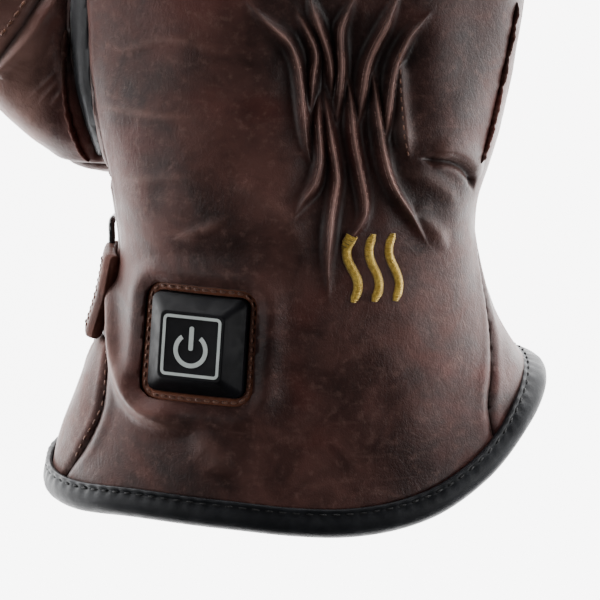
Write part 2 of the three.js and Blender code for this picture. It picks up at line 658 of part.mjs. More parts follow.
const buttonFrame = surfaceFrame(button.x, button.y);
const onButton = (rings) => loft(rings.map((r) => r.map((p) => p.applyMatrix4(buttonFrame))));
const half = button.side / 2;
const housing = onButton([
  roundedSquare(half, button.corner, -button.seat),
  roundedSquare(half, button.corner, button.rim),
  roundedSquare(half - button.bevel, button.corner * 0.6, button.rim + button.rise),
]);
const squarePrism = (grow) =>
  onButton([-2 * wall, 2 * wall].map((z) => roundedSquare(half + grow, button.corner + grow, z)));
const housingRoom = onButton([
  roundedSquare(half + seamGap, button.corner, -button.seat - seamGap),
  roundedSquare(half + seamGap, button.corner, 3 * wall),
]);
const frameEdge = seamGap + windowFrame.width;
const frameLayer = layer(-windowFrame.sunk, windowFrame.proud);
const framePiece = squarePrism(frameEdge).intersect(frameLayer).subtract(squarePrism(seamGap));
const frameRoom = squarePrism(frameEdge + seamGap).subtract(handSolid(windowFrame.sunk + seamGap));

// The embroidered heat mark: three wavy strokes that follow the leather

/** One wavy stroke as an upright prism. */
function wavePrism(x) {
  const steps = 6;
  const side = (s) =>
    Array.from({ length: steps + 1 }, (_, i) => {
      const t = i / steps;
      const sway = Math.sin(2 * Math.PI * t) * emblem.width * 0.1;
      return { x: x + sway + (s * emblem.stroke) / 2, y: emblem.y + (t - 0.5) * emblem.height };
    });
  return prism([...side(1), ...side(-1).reverse()], palm.thickness / 2, 2 * hem.thickness);
}

const markLayer = layer(seamGap, seamGap + emblem.proud);
const waves = [-1, 0, 1].map((i) => {
  const apart = (emblem.width - emblem.stroke) / 2;
  return markLayer.intersect(wavePrism(emblem.x + i * apart));
});

// The wrist strap on the palm's side, its ring and the tab that holds the ring

const strapFrom = strap.y - strap.width / 2;
const wristSection = section(strap.y / cuffLength);
const wristPoint = (angle) => handPoint(angle, strap.y / cuffLength, 0, false);

/** The angle that a length over the wrist's rounded side takes. */
const aroundWrist = (length) => THREE.MathUtils.radToDeg(length / wristSection.halfThickness);

/** A layer over the leather, as thick as given, over the strap's width and between two angles. */
function strapLayer(thickness, fromAngle, toAngle) {
  const centre = new THREE.Vector2(wristSection.x, wristSection.z);
  const steps = Math.max(1, Math.ceil((toAngle - fromAngle) / 45));
  const fan = Array.from({ length: steps + 1 }, (_, i) => {
    const p = wristPoint(lerp(fromAngle, toAngle, i / steps));
    return new THREE.Vector2(p.x, p.z).sub(centre).multiplyScalar(3).add(centre);
  });
  const shape = new THREE.Shape([centre, ...fan]);
  const geometry = new THREE.ExtrudeGeometry(shape, { depth: strap.width, bevelEnabled: false });
  const wedge = solid(geometry.rotateX(Math.PI / 2).translate(0, strapFrom + strap.width, 0));
  return layer(seamGap, seamGap + thickness).intersect(wedge);
}

const ringHeight = seamGap + strap.foldThickness / 2;
const ringAcross = (ring.across - ring.wire) / 2;
const ringLong = (ring.length - ring.wire) / 2;

/** A point over the wrist, from lengths round it and along it, counted from the ring's middle. */
function overRing(round, onward, height) {
  const angle = ring.angle + aroundWrist(round);
  return handPoint(angle, (strap.y + ring.shiftY + onward) / cuffLength, -height, false);
}

/** Rings of points round a wire that follows a path of lengths over the wrist. */
function wireRings(path, radius, sides, closed) {
  const last = path.length - 1;
  const neighbour = (i) => path[closed ? (i + path.length) % path.length : THREE.MathUtils.clamp(i, 0, last)];
  return path.map(([round, onward], i) => {
    const middle = overRing(round, onward, ringHeight);
    const up = overRing(round, onward, ringHeight + 1).sub(middle).normalize();
    const [next, before] = [i + 1, i - 1].map((k) => overRing(...neighbour(k), ringHeight));
    const ahead = next.sub(before).normalize();
    const side = new THREE.Vector3().crossVectors(ahead, up).normalize();
    return circle(middle, side, up, radius, sides);
  });
}

/** The wire ring, bent to the wrist, round the strap's fold and the tab's fold. */
function ringSolid() {
  const turns = 3;
  const path = [];
  for (let q = 0; q < 4; q++) {
    const [sx, sy] = [[1, 1], [-1, 1], [-1, -1], [1, -1]][q];
    for (let i = 0; i <= turns; i++) {
      const a = rad(90 * q + (90 * i) / turns);
      path.push([
        sx * (ringAcross - ring.bend) + Math.cos(a) * ring.bend,
        sy * (ringLong - ring.bend) + Math.sin(a) * ring.bend,
      ]);
    }
    if (q % 2 === 1) for (const share of [0.4, 0, -0.4]) path.push([sx * ringAcross, sy * share * ringLong]);
  }
  return loop(wireRings(path, ring.wire / 2, 6, true));
}

/** Points of a circle, from its middle and two directions across each other. */
function circle(middle, first, second, radius, sides) {
  return Array.from({ length: sides }, (_, k) => {
    const a = (k / sides) * 2 * Math.PI;
    return middle
      .clone()
      .addScaledVector(first, Math.cos(a) * radius)
      .addScaledVector(second, Math.sin(a) * radius);
  });
}

/** The tunnel that a fold leaves for one long side of the ring. */
function tunnel(round) {
  const path = [-1.1, -0.4, 0, 0.4, 1.1].map((share) => [round, share * ringLong]);
  return loft(wireRings(path, ring.wire / 2 + seamGap, 8, false));
}

const foldTurn = aroundWrist(strap.foldLength);
const foldRound = aroundWrist(strap.foldThickness / 2);
const [nearBar, farBar] = [ring.angle - aroundWrist(ringAcross), ring.angle + aroundWrist(ringAcross)];
const tabFold = strapLayer(strap.foldThickness, nearBar - foldTurn, nearBar + foldRound);
const strapFold = strapLayer(strap.foldThickness, farBar - foldRound, farBar + foldTurn);
const strapBand = strapLayer(strap.thickness, farBar, strap.endAngle);
const tabSolid = tabFold.subtract(tunnel(-ringAcross));
const strapSolid = strapFold.add(strapBand).subtract(tunnel(ringAcross));

// The binding that wraps the hem

/** The binding as a ring round the cuff's opening, with a groove for the leather's edge. */
function bindingSolid() {
  const grip = wall / 2 + seamGap + binding.leather;
  const shape = [
    [grip, -binding.depth],
    [grip * 1.06, -binding.nose / 4],
    [grip * 0.5, binding.nose],
    [-grip * 0.5, binding.nose],
    [-grip * 1.06, -binding.nose / 4],
    [-grip, -binding.depth],
  ];
  const rings = outerAngles().map((angle) => {
    const outer = handPoint(angle, -1, 0, false);
    const inner = handPoint(angle, -1, wall, false);
    const onward = outer.clone().sub(handPoint(angle, -0.94, 0, false)).normalize();
    const out = outer.clone().sub(inner);
    out.addScaledVector(onward, -out.dot(onward)).normalize();
    const middle = outer.add(inner).divideScalar(2);
    return shape.map(([n, d]) => {
      const point = middle.clone().addScaledVector(out, n).addScaledVector(onward, d);
      point.z = Math.max(point.z, 0);
      return point;
    });
  });
  const edge = handSolid(-seamGap, { reach: seamGap });
  const hollow = handSolid(wall + seamGap, { fine: false, reach: 20 });
  return loop(rings).subtract(edge.subtract(hollow));
}

// The assembly

const finishes = {
  leather: { color: 0x4a2c26, roughness: 0.45, metalness: 0 },
  strip: { color: 0x23242a, roughness: 0.6, metalness: 0 },
  binding: { color: 0x2b2c30, roughness: 0.42, metalness: 0 },
  plastic: { color: 0x141518, roughness: 0.35, metalness: 0 },
  tan: { color: 0x5a3324, roughness: 0.5, metalness: 0 },
  thread: { color: 0xc9a227, roughness: 0.55, metalness: 0 },
};
const materials = Object.fromEntries(
  Object.entries(finishes).map(([name, finish]) => [name, new THREE.MeshStandardMaterial(finish)]),
);

/** A named mesh from a manifold solid. */
function piece(name, made, finish) {
  const { vertProperties, triVerts, numProp } = made.getMesh();
  const geometry = new THREE.BufferGeometry();
  const positions = new Float32Array((vertProperties.length / numProp) * 3);
  for (let i = 0; i < positions.length / 3; i++)
    positions.set(vertProperties.subarray(i * numProp, i * numProp + 3), i * 3);
  geometry.setAttribute("position", new THREE.BufferAttribute(positions, 3));
  geometry.setIndex(new THREE.BufferAttribute(triVerts, 1));
  geometry.computeVertexNormals();
  const mesh = new THREE.Mesh(geometry, materials[finish]);
  mesh.name = name;
  return mesh;
}

const glove = new THREE.Group();
glove.name = "heated_glove";
glove.position.y = -palm.rest;
glove.add(
  piece("back_panel", body.intersect(over).subtract(housingRoom).subtract(frameRoom), "leather"),
  piece("palm_panel", body.intersect(under), "leather"),
  piece("thumb_base", thumbBase, "leather"),
  piece("thumb_back", thumbTube.intersect(over), "leather"),
  piece("thumb_front", thumbTube.intersect(under), "leather"),
  piece("cuff_gusset", gussetPiece, "leather"),
  piece("side_strip", stripPiece, "strip"),
  ...fourchettes.map((f) => piece(f.name, f.piece, "strip")),
  piece("cuff_binding", bindingSolid(), "binding"),
  piece("button_housing", housing, "plastic"),
  piece("button_frame", framePiece, "tan"),
  ...waves.map((w, i) => piece(`heat_mark_${i + 1}`, w, "thread")),
  piece("wrist_strap", strapSolid, "leather"),
  piece("strap_ring", ringSolid(), "plastic"),
  piece("ring_tab", tabSolid, "leather"),
);

export default glove;
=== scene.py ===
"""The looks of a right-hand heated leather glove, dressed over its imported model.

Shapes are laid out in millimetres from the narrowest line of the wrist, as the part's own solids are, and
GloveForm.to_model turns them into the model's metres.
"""
import logging
import math
from dataclasses import dataclass, field
from enum import Enum
from typing import Callable, Optional, Sequence

import bpy
import numpy as np
from mathutils import Matrix, Vector, kdtree
from mathutils.bvhtree import BVHTree


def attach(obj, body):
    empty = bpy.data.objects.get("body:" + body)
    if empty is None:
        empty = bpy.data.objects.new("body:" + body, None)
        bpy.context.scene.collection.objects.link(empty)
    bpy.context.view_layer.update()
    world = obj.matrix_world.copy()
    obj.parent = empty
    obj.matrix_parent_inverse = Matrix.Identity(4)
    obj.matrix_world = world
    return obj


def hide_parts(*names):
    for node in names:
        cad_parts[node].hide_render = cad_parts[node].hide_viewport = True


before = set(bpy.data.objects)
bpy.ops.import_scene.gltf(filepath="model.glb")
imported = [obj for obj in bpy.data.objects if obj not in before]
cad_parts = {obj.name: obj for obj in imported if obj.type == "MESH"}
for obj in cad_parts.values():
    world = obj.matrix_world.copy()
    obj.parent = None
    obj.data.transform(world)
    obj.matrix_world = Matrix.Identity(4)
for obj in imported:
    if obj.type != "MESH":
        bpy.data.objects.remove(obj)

log = logging.getLogger("glove")
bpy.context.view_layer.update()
Array = np.ndarray
Pixel = tuple[float, float]
Line = tuple[Pixel, ...]
Table = tuple[tuple[float, ...], ...]
Measure = Callable[[Array], Array]
Piece = bpy.types.Object
Socket = bpy.types.NodeSocket


# ------------------------ small maths


def smoothstep(low: float, high: float, value: Array) -> Array:
    """Rise smoothly from 0 at low to 1 at high."""
    t = np.clip((np.asarray(value, float) - low) / (high - low), 0, 1)
    return t * t * (3 - 2 * t)


def read(rows: Sequence[tuple[float, ...]], column: int, at: Array) -> Array:
    """Read one column of a table as a smooth curve over its first column.

    Args:
        rows: The table, with its key in the first column.
        column: The column to read.
        at: Places in the key column.

    Returns:
        The curve's values there.
    """
    table = np.array(rows, float)
    keys, values = table[:, 0], table[:, column]
    at = np.asarray(at, float)
    i = np.clip(np.searchsorted(keys, at, side="right") - 1, 0, len(keys) - 2)
    slopes = np.empty_like(values)
    slopes[1:-1] = (values[2:] - values[:-2]) / (keys[2:] - keys[:-2])
    slopes[0] = (values[1] - values[0]) / (keys[1] - keys[0])
    slopes[-1] = (values[-1] - values[-2]) / (keys[-1] - keys[-2])
    span = keys[i + 1] - keys[i]
    t = np.clip((at - keys[i]) / span, 0, 1)
    t2, t3 = t * t, t * t * t
    start, end = (2 * t3 - 3 * t2 + 1) * values[i], (3 * t2 - 2 * t3) * values[i + 1]
    return start + (t3 - 2 * t2 + t) * span * slopes[i] + end + (t3 - t2) * span * slopes[i + 1]


def unit(vectors: Array) -> Array:
    """Scale vectors to length 1."""
    return vectors / np.maximum(np.linalg.norm(vectors, axis=-1, keepdims=True), 1e-9)


def to_line(points: Array, line: Array) -> tuple[Array, Array]:
    """Measure how far points lie from a line of straight stretches, and where along it they come nearest.

    Args:
        points: Points, one row each.
        line: The line's own points, with as many columns.

    Returns:
        The distances, and the shares of the line's length.
    """
    far = np.full(len(points), 1e9)
    share = np.zeros(len(points))
    lengths = np.linalg.norm(np.diff(line, axis=0), axis=1)
    start = np.concatenate([[0], np.cumsum(lengths)])
    for k, length in enumerate(lengths):
        a, step = line[k], line[k + 1] - line[k]
        t = np.clip(((points - a) @ step) / max(length * length, 1e-9), 0, 1)
        d = np.linalg.norm(points - a - t[:, None] * step, axis=1)
        near = d < far
        far[near] = d[near]
        share[near] = (start[k] + t[near] * length) / start[-1]
    return far, share


def resampled(line: Array, step: float) -> Array:
    """Space a line's points evenly, close to a step apart."""
    lengths = np.linalg.norm(np.diff(line, axis=0), axis=1)
    at = np.concatenate([[0], np.cumsum(lengths)])
    count = max(int(round(at[-1] / step)), 1) + 1
    places = np.linspace(0, at[-1], count)
    return np.stack([np.interp(places, at, line[:, k]) for k in range(line.shape[1])], axis=1)


def rounded(line: Array, rounds: int = 2) -> Array:
    """Round the corners of a line by cutting them, keeping its ends."""
    for _ in range(rounds):
        a, b = line[:-1], line[1:]
        cut = np.stack([0.75 * a + 0.25 * b, 0.25 * a + 0.75 * b], axis=1).reshape(-1, line.shape[1])
        line = np.concatenate([line[:1], cut[1:-1], line[-1:]])
    return line


# ------------------------ the glove's form


@dataclass(frozen=True)
class Finger:
    """One finger: its root's place, size and fan, as the solids have them."""

    name: str
    x: float
    y: float
    length: float
    width: float
    fan: float


@dataclass
class GloveForm:
    """The glove's form, from the same named sizes as its solids. Lengths are in millimetres."""

    wall: float = 3.0
    palm_length: float = 108.0
    palm_width: float = 114.0
    palm_thickness: float = 52.0
    palm_rest: float = 60.0
    wrist_width: float = 91.0
    wrist_thickness: float = 56.0
    wrist_lift: float = 9.5
    hem_width: float = 127.0
    hem_thickness: float = 79.0
    cuff_length: float = 68.0
    binding_below: float = 1.5
    gather_x: float = 13.5
    gather_y: float = 34.0
    gather_width: float = 26.0
    gather_length: float = 62.0
    gather_depth: float = 1.6
    thumb_width: float = 39.0
    thumb_thickness: float = 30.0
    finger_height: float = 27.0
    finger_root: float = 18.5
    fingers: tuple[Finger, ...] = (
        Finger("index", -0.352, 0.96, 0.92 * 90, 0.98 * 29, -6),
        Finger("middle", -0.115, 1.0, 90, 29, -1),
        Finger("ring", 0.126, 0.985, 0.93 * 90, 0.965 * 29, 4),
        Finger("little", 0.35, 0.92, 0.745 * 90, 0.9 * 29, 10),
    )
    # along, hem, wrist, shift, lift, full
    sections: Table = (
        (-1.1, 1.1, -0.1, -0.01, -0.2, 1.0),
        (-1.0, 1.0, 0.0, -0.01, -0.2, 1.0),
        (-0.84, 0.84, 0.16, -0.013, -0.05, 1.0),
        (-0.68, 0.64, 0.36, -0.008, 0.25, 1.0),
        (-0.51, 0.4, 0.6, -0.006, 0.55, 1.0),
        (-0.32, 0.16, 0.84, -0.002, 0.88, 1.0),
        (-0.12, 0.0, 1.0, -0.004, 1.0, 1.0),
        (0.05, 0.0, 1.0, -0.013, 0.95, 1.0),
        (0.14, 0.0, 0.74, -0.008, 0.68, 1.02),
        (0.26, 0.0, 0.4, -0.01, 0.2, 1.07),
        (0.39, 0.0, 0.1, -0.01, -0.2, 1.08),
        (0.54, 0.0, -0.04, -0.006, -0.32, 1.05),
        (0.69, 0.0, 0.04, -0.004, -0.32, 0.97),
        (0.85, 0.0, 0.08, 0.0, -0.26, 0.84),
        (1.0, 0.0, 0.2, 0.0, 0.1, 0.64),
        (1.04, 0.0, 0.6, 0.0, 0.6, 0.46),
    )
    # angle round the opening, how much shorter the hem is cut there
    hem_cut: Table = (
        (0, 0.38), (22, 0.29), (42, 0.13), (60, 0.015), (80, -0.03), (105, 0.0), (128, 0.01),
        (152, -0.02), (180, -0.03), (215, -0.01), (250, 0.09), (290, 0.21), (330, 0.34),
    )
    # share of the length, height of the centre, width, height
    finger_rows: Table = (
        (-0.24, 0.93, 0.92, 0.96), (0.05, 1.02, 0.98, 1.0), (0.33, 1.15, 1.0, 0.98), (0.6, 1.02, 0.96, 0.93),
        (0.8, 0.73, 0.91, 0.85), (0.92, 0.49, 0.76, 0.7), (0.98, 0.38, 0.45, 0.43), (1.0, 0.35, 0.16, 0.16),
    )
    # row, x, y, z, width, thickness
    thumb_rows: Table = (
        (0, -0.16, 0.22, 0.62, 0.98, 1.0), (1, -0.36, 0.245, 0.62, 1.02, 1.0),
        (2, -0.465, 0.27, 0.62, 1.02, 1.0),
        (3, -0.6, 0.385, 0.6, 0.96, 0.97), (4, -0.74, 0.53, 0.54, 0.88, 0.92),
        (5, -0.845, 0.71, 0.46, 0.79, 0.84),
        (6, -0.889, 0.83, 0.38, 0.66, 0.7), (7, -0.907, 0.89, 0.33, 0.42, 0.46),
        (8, -0.914, 0.916, 0.31, 0.14, 0.14),
    )
    # along, height of the back's seam on the thumb's side and on the little finger's side
    seam_rows: Table = (
        (-1.4, 0.76, 1.25), (-0.65, 0.78, 1.16), (-0.42, 0.78, 0.94), (-0.2, 0.8, 0.78), (0.05, 0.82, 0.68),
        (0.2, 0.79, 0.6), (0.42, 0.7, 0.53), (0.6, 0.65, 0.5), (0.8, 0.56, 0.44),
    )

    def section(self, along: Array) -> tuple[Array, Array, Array, Array]:
        """The sizes of the hand's section: its middle's x and z, and half its width and thickness."""
        hem, wrist = read(self.sections, 1, along), read(self.sections, 2, along)
        rest = 1 - hem - wrist
        full = read(self.sections, 5, along)
        thick = full * (hem * self.hem_thickness + wrist * self.wrist_thickness + rest * self.palm_thickness)
        wide = hem * self.hem_width + wrist * self.wrist_width + rest * self.palm_width
        base = read(self.sections, 4, along) * self.wrist_lift
        return read(self.sections, 3, along) * self.palm_width, base + thick / 2, wide / 2, thick / 2

    def hem_short(self, degrees: Array) -> Array:
        """How much shorter the hem is cut at an angle, as a share of the cuff's length."""
        rows = list(self.hem_cut)
        first, second, last = rows[0], rows[1], rows[-1]
        around = [(last[0] - 360, last[1]), *rows, (360, first[1]), (360 + second[0], second[1])]
        return read(around, 1, np.mod(degrees, 360))

    def gather_share(self, x: Array, y: Array) -> Array:
        """The share of the gather's hollow that a point in plan lies in."""
        across = (x - self.gather_x) / (0.62 * self.gather_width)
        along = (y - self.gather_y) / (0.5 * self.gather_length)
        return np.exp(-(across**4)) * np.exp(-(along**2) * 1.6)

    def hand_points(self, degrees: Array, along: Array, inset: float | Array = 0.0) -> Array:
        """Points of the hand's surface.

        Args:
            degrees: Angles round the hand, 90 at the back.
            along: Shares of the cuff, below zero, or of the palm, above it.
            inset: Depth under the leather's outside, below zero for a layer over it.

        Returns:
            One point in millimetres for each pair of places.
        """
        degrees, along = np.broadcast_arrays(np.asarray(degrees, float), np.asarray(along, float))
        middle_x, middle_z, half_wide, half_thick = self.section(along)
        c, n = np.cos(np.radians(degrees)), np.sin(np.radians(degrees))
        power = np.where(n > 0, 2 / 2.15, 2 / 2.5)
        x = middle_x + np.sign(c) * np.abs(c) ** power * (half_wide - inset)
        z = middle_z + np.sign(n) * np.abs(n) ** power * (half_thick - inset)
        short = self.hem_short(degrees) * np.minimum(1, np.abs(along)) ** 1.5
        y = np.where(along < 0, along * self.cuff_length * (1 - short), along * self.palm_length)
        normal = unit(np.stack([c / half_wide, np.zeros_like(c), n / half_thick], axis=-1))
        rise = -smoothstep(0.15, 0.4, n) * self.gather_depth * self.gather_share(x, y)
        point = np.stack([x, y, z], axis=-1) + normal * rise[..., None]
        floor = self.binding_below * (1 - smoothstep(-0.9, -0.62, along)) + inset
        point[..., 2] = np.maximum(point[..., 2], floor)
        return point

    def finger_centres(self, one: Finger, share: Array) -> Array:
        """Points of a finger's centreline."""
        reach = np.asarray(share, float) * one.length
        turn = math.radians(one.fan)
        x = one.x * self.palm_width + math.sin(turn) * reach
        y = one.y * self.palm_length + math.cos(turn) * reach
        return np.stack([x, y, read(self.finger_rows, 1, share) * self.finger_root], axis=-1)

    def oval_rings(self, centres: Array, half_wide: Array, half_high: Array, sides: int) -> Array:
        """Rounded oval rings across a centreline, kept above the floor."""
        ahead = unit(np.gradient(centres, axis=0))
        side = unit(np.stack([ahead[:, 1], -ahead[:, 0], np.zeros(len(ahead))], axis=1))
        up = np.cross(side, ahead)
        a = np.linspace(0, 2 * np.pi, sides, endpoint=False)
        c, n = np.cos(a), np.sin(a)
        c, n = np.sign(c) * np.abs(c) ** (2 / 2.3), np.sign(n) * np.abs(n) ** (2 / 2.3)
        rings = centres[:, None] + side[:, None] * (c[None, :] * half_wide[:, None])[..., None]
        rings = rings + up[:, None] * (n[None, :] * half_high[:, None])[..., None]
        rings[..., 2] = np.maximum(rings[..., 2], 0)
        return rings

    def finger_rings(self, one: Finger) -> Array:
        """The rings of one finger's tube."""
        share = np.concatenate([np.linspace(-0.24, 0.9, 40), np.linspace(0.915, 1, 12)])
        half_wide = read(self.finger_rows, 2, share) * one.width / 2
        half_high = read(self.finger_rows, 3, share) * self.finger_height / 2
        return self.oval_rings(self.finger_centres(one, share), half_wide, half_high, 48)

    def thumb_rings(self) -> Array:
        """The rings of the thumb's tube."""
        t = np.concatenate([np.linspace(0, 6, 44), np.linspace(6.15, 8, 14)])
        x = read(self.thumb_rows, 1, t) * self.palm_width
        y = read(self.thumb_rows, 2, t) * self.palm_length
        z = read(self.thumb_rows, 3, t) * self.thumb_thickness
        half_wide = read(self.thumb_rows, 4, t) * self.thumb_width / 2
        half_thick = read(self.thumb_rows, 5, t) * self.thumb_thickness / 2
        return self.oval_rings(np.stack([x, y, z], axis=1), half_wide, half_thick, 56)

    def seam_height(self, x: Array, y: Array) -> Array:
        """Height of the seam between the back and the palm above points in plan."""
        along = np.where(y < 0, y / self.cuff_length, y / self.palm_length)
        low = np.minimum(along, 0.8)
        side = np.clip(x / self.palm_width + 0.5, 0, 1)
        radial, ulnar = read(self.seam_rows, 1, low), read(self.seam_rows, 2, low)
        hand = (radial * (1 - side) + ulnar * side) * self.palm_thickness
        centres = []
        for one in self.fingers:
            share = (y - one.y * self.palm_length) / (one.length * math.cos(math.radians(one.fan)))
            centres.append(self.finger_centres(one, np.clip(share, 0, 1)))
        cx = np.stack([c[..., 0] for c in centres])
        cz = np.stack([c[..., 2] for c in centres])
        on_fingers = cz[0].copy()
        for k in range(3):
            t = np.clip((x - cx[k]) / (cx[k + 1] - cx[k]), 0, 1)
            on_fingers = np.where(x > cx[k], cz[k] * (1 - t) + cz[k + 1] * t, on_fingers)
        blend = smoothstep(0.8, 1, along)
        both = hand * (1 - blend) + on_fingers * blend
        low_z, high_z = self.thumb_rows[4][3], self.thumb_rows[7][3]
        blend = smoothstep(0.5, 0.9, along)
        on_thumb = (low_z * (1 - blend) + high_z * blend) * self.thumb_thickness
        return np.where((x < -0.56 * self.palm_width) & (along > 0), on_thumb, both)

    def to_model(self, points: Array) -> Array:
        """Turn millimetres from the wrist into the model's metres."""
        return (np.asarray(points, float) - np.array([0, self.palm_rest, 0])) * 0.001

    def to_wrist(self, points: Array) -> Array:
        """Turn the model's metres into millimetres from the wrist."""
        return np.asarray(points, float) * 1000 + np.array([0, self.palm_rest, 0])


# ------------------------ the picture's viewpoint


@dataclass
class Viewpoint:
    """Where the picture is seen from. Lengths are in metres, in the model's frame."""

    tilt: float = math.radians(18)
    target: tuple[float, float, float] = (0.0, -0.0746, 0.060)
    distance: float = 1.2
    lens: float = 288.0
    film: float = 36.0
    picture: float = 600.0

    def axes(self) -> tuple[Vector, Vector, Vector]:
        """The camera's right, up and back directions."""
        back = Vector((0, math.sin(self.tilt), math.cos(self.tilt)))
        up = Vector((0, math.cos(self.tilt), -math.sin(self.tilt)))
        return up.cross(back), up, back

    def eye(self) -> Vector:
        """The camera's place."""
        return Vector(self.target) + self.axes()[2] * self.distance

    def ray(self, pixel: Pixel) -> Vector:
        """The direction in which a pixel of the picture is seen."""
        right, up, back = self.axes()
        scale = self.film / self.lens / self.picture
        u, v = (pixel[0] - self.picture / 2) * scale, (self.picture / 2 - pixel[1]) * scale
        return (right * u + up * v - back).normalized()

    def build(self) -> Piece:
        """Make the camera and give it to the scene."""
        data = bpy.data.cameras.new("camera")
        data.lens, data.sensor_width, data.clip_end = self.lens, self.film, 10
        camera = bpy.data.objects.new("camera", data)
        bpy.context.collection.objects.link(camera)
        right, up, back = self.axes()
        place = Matrix((right, up, back)).transposed().to_4x4()
        place.translation = self.eye()
        camera.matrix_world = place
        bpy.context.scene.camera = camera
        return camera


# ------------------------ surfaces made of triangles


@dataclass
class Surface:
    """A surface of triangles in millimetres from the wrist, with a label on each triangle."""

    points: Array
    faces: Array
    labels: Array = field(default_factory=lambda: np.zeros(0, int))

    def __post_init__(self) -> None:
        """Give every triangle the label 0 where none is given."""
        if len(self.labels) != len(self.faces):
            self.labels = np.zeros(len(self.faces), int)

    def normals(self) -> Array:
        """The smooth direction outwards at each point."""
        a, b, c = (self.points[self.faces[:, k]] for k in range(3))
        across = np.cross(b - a, c - a)
        total = np.zeros_like(self.points)
        for k in range(3):
            for axis in range(3):
                total[:, axis] += np.bincount(self.faces[:, k], across[:, axis], len(self.points))
        return unit(total)

    def edges(self) -> Array:
        """Each edge once, as two point numbers."""
        pairs = np.sort(self.faces[:, [0, 1, 1, 2, 2, 0]].reshape(-1, 2), axis=1)
        return np.unique(pairs, axis=0)

    def smooth(self, weight: Array, rounds: int) -> None:
        """Move points towards their neighbours' middle, as far as their weight says."""
        pairs = self.edges()
        both = np.concatenate([pairs, pairs[:, ::-1]])
        count = np.bincount(both[:, 0], minlength=len(self.points))
        for _ in range(rounds):
            total = np.stack(
                [
                    np.bincount(both[:, 0], self.points[both[:, 1], k], len(self.points)) for k in range(3)
                ], axis=1)
            self.points = self.points + (total / count[:, None] - self.points) * weight[:, None]

    def _edge_keys(self) -> Array:
        """A number for each of a triangle's three edges, the same on both of its sides."""
        pairs = np.sort(self.faces[:, [[0, 1], [1, 2], [2, 0]]], axis=2).astype(np.int64)
        return pairs[..., 0] * len(self.points) + pairs[..., 1]

    def refined(self, chosen: Array) -> "Surface":
        """Split the edges of the chosen triangles in two, with the neighbours fitted to them."""
        keys = self._edge_keys()
        split = np.unique(keys[chosen])
        if not len(split):
            return self
        at = np.clip(np.searchsorted(split, keys), 0, len(split) - 1)
        mids = np.where(split[at] == keys, len(self.points) + at, -1)
        a, b = split // len(self.points), split % len(self.points)
        points = np.concatenate([self.points, (self.points[a] + self.points[b]) / 2])
        return self._divided(points, mids)

    def _divided(self, points: Array, mids: Array) -> "Surface":
        """Rebuild the triangles round the new points on their edges."""
        faces, labels = [], []
        count = (mids >= 0).sum(axis=1)
        whole = count == 0
        faces.append(self.faces[whole])
        labels.append(self.labels[whole])
        for turn in range(3):
            order = [(turn + k) % 3 for k in range(3)]
            v, m = self.faces[:, order], mids[:, order]
            if turn == 0:
                pick = count == 3
                shapes = [
                    (v[:, 0], m[:, 0], m[:, 2]), (m[:, 0], v[:, 1], m[:, 1]), (m[:, 2], m[:, 1], v[:, 2]),
                    (m[:, 0], m[:, 1], m[:, 2])]
                for shape in shapes:
                    faces.append(np.stack(shape, axis=1)[pick])
                    labels.append(self.labels[pick])
            pick = (count == 2) & (m[:, 2] < 0)
            for shape in [
                (v[:, 1], m[:, 1], m[:, 0]), (v[:, 0], m[:, 0], m[:, 1]), (v[:, 0], m[:, 1], v[:, 2])]:
                faces.append(np.stack(shape, axis=1)[pick])
                labels.append(self.labels[pick])
            pick = (count == 1) & (m[:, 0] >= 0)
            for shape in [(v[:, 0], m[:, 0], v[:, 2]), (m[:, 0], v[:, 1], v[:, 2])]:
                faces.append(np.stack(shape, axis=1)[pick])
                labels.append(self.labels[pick])
        return Surface(points, np.concatenate(faces), np.concatenate(labels))

    def cut(self, measure: Measure, label: int, new_label: int) -> None:
        """Cut one label's triangles where a measure is zero, and relabel the side above zero.

        Args:
            measure: Gives a number for each point, zero on the cut.
            label: The triangles to cut.
            new_label: The label of those above zero.
        """
        mine = self.labels == label
        value = measure(self.points)
        used = np.unique(self.faces[mine])
        keys = self._edge_keys()
        pairs = np.unique(keys[mine])
        a, b = pairs // len(self.points), pairs % len(self.points)
        crossing = value[a] * value[b] < 0
        a, b = a[crossing], b[crossing]
        share = value[a] / (value[a] - value[b])
        snapped = value.copy()
        snapped[a[share < 0.12]] = 0
        snapped[b[share > 0.88]] = 0
        keep = np.zeros(len(value), bool)
        keep[used] = True
        value = np.where(keep, snapped, value)
        crossing = value[a] * value[b] < 0
        a, b = a[crossing], b[crossing]
        share = (value[a] / (value[a] - value[b]))[:, None]
        split = a.astype(np.int64) * len(self.points) + b
        order = np.argsort(split)
        split, a, b, share = split[order], a[order], b[order], share[order]
        points = np.concatenate([self.points, self.points[a] * (1 - share) + self.points[b] * share])
        value = np.concatenate([value, np.zeros(len(split))])
        rest = Surface(points, self.faces[~mine], self.labels[~mine])
        part = Surface(self.points, self.faces[mine], self.labels[mine])
        if len(split):
            at = np.clip(np.searchsorted(split, keys[mine]), 0, len(split) - 1)
            mids = np.where(split[at] == keys[mine], len(self.points) + at, -1)
            part = part._divided(points, mids)
        above = value[part.faces].sum(axis=1) > 0
        part.labels[above] = new_label
        self.points = points
        self.faces = np.concatenate([rest.faces, part.faces])
        self.labels = np.concatenate([rest.labels, part.labels])

    def seams(self) -> Array:
        """The points on the edges where two labels meet."""
        keys = self._edge_keys().reshape(-1)
        labels = np.repeat(self.labels, 3)
        order = np.argsort(keys, kind="stable")
        keys, labels = keys[order], labels[order]
        same = (keys[1:] == keys[:-1]) & (labels[1:] != labels[:-1])
        found = keys[1:][same]
        return np.unique(np.concatenate([found // len(self.points), found % len(self.points)]))

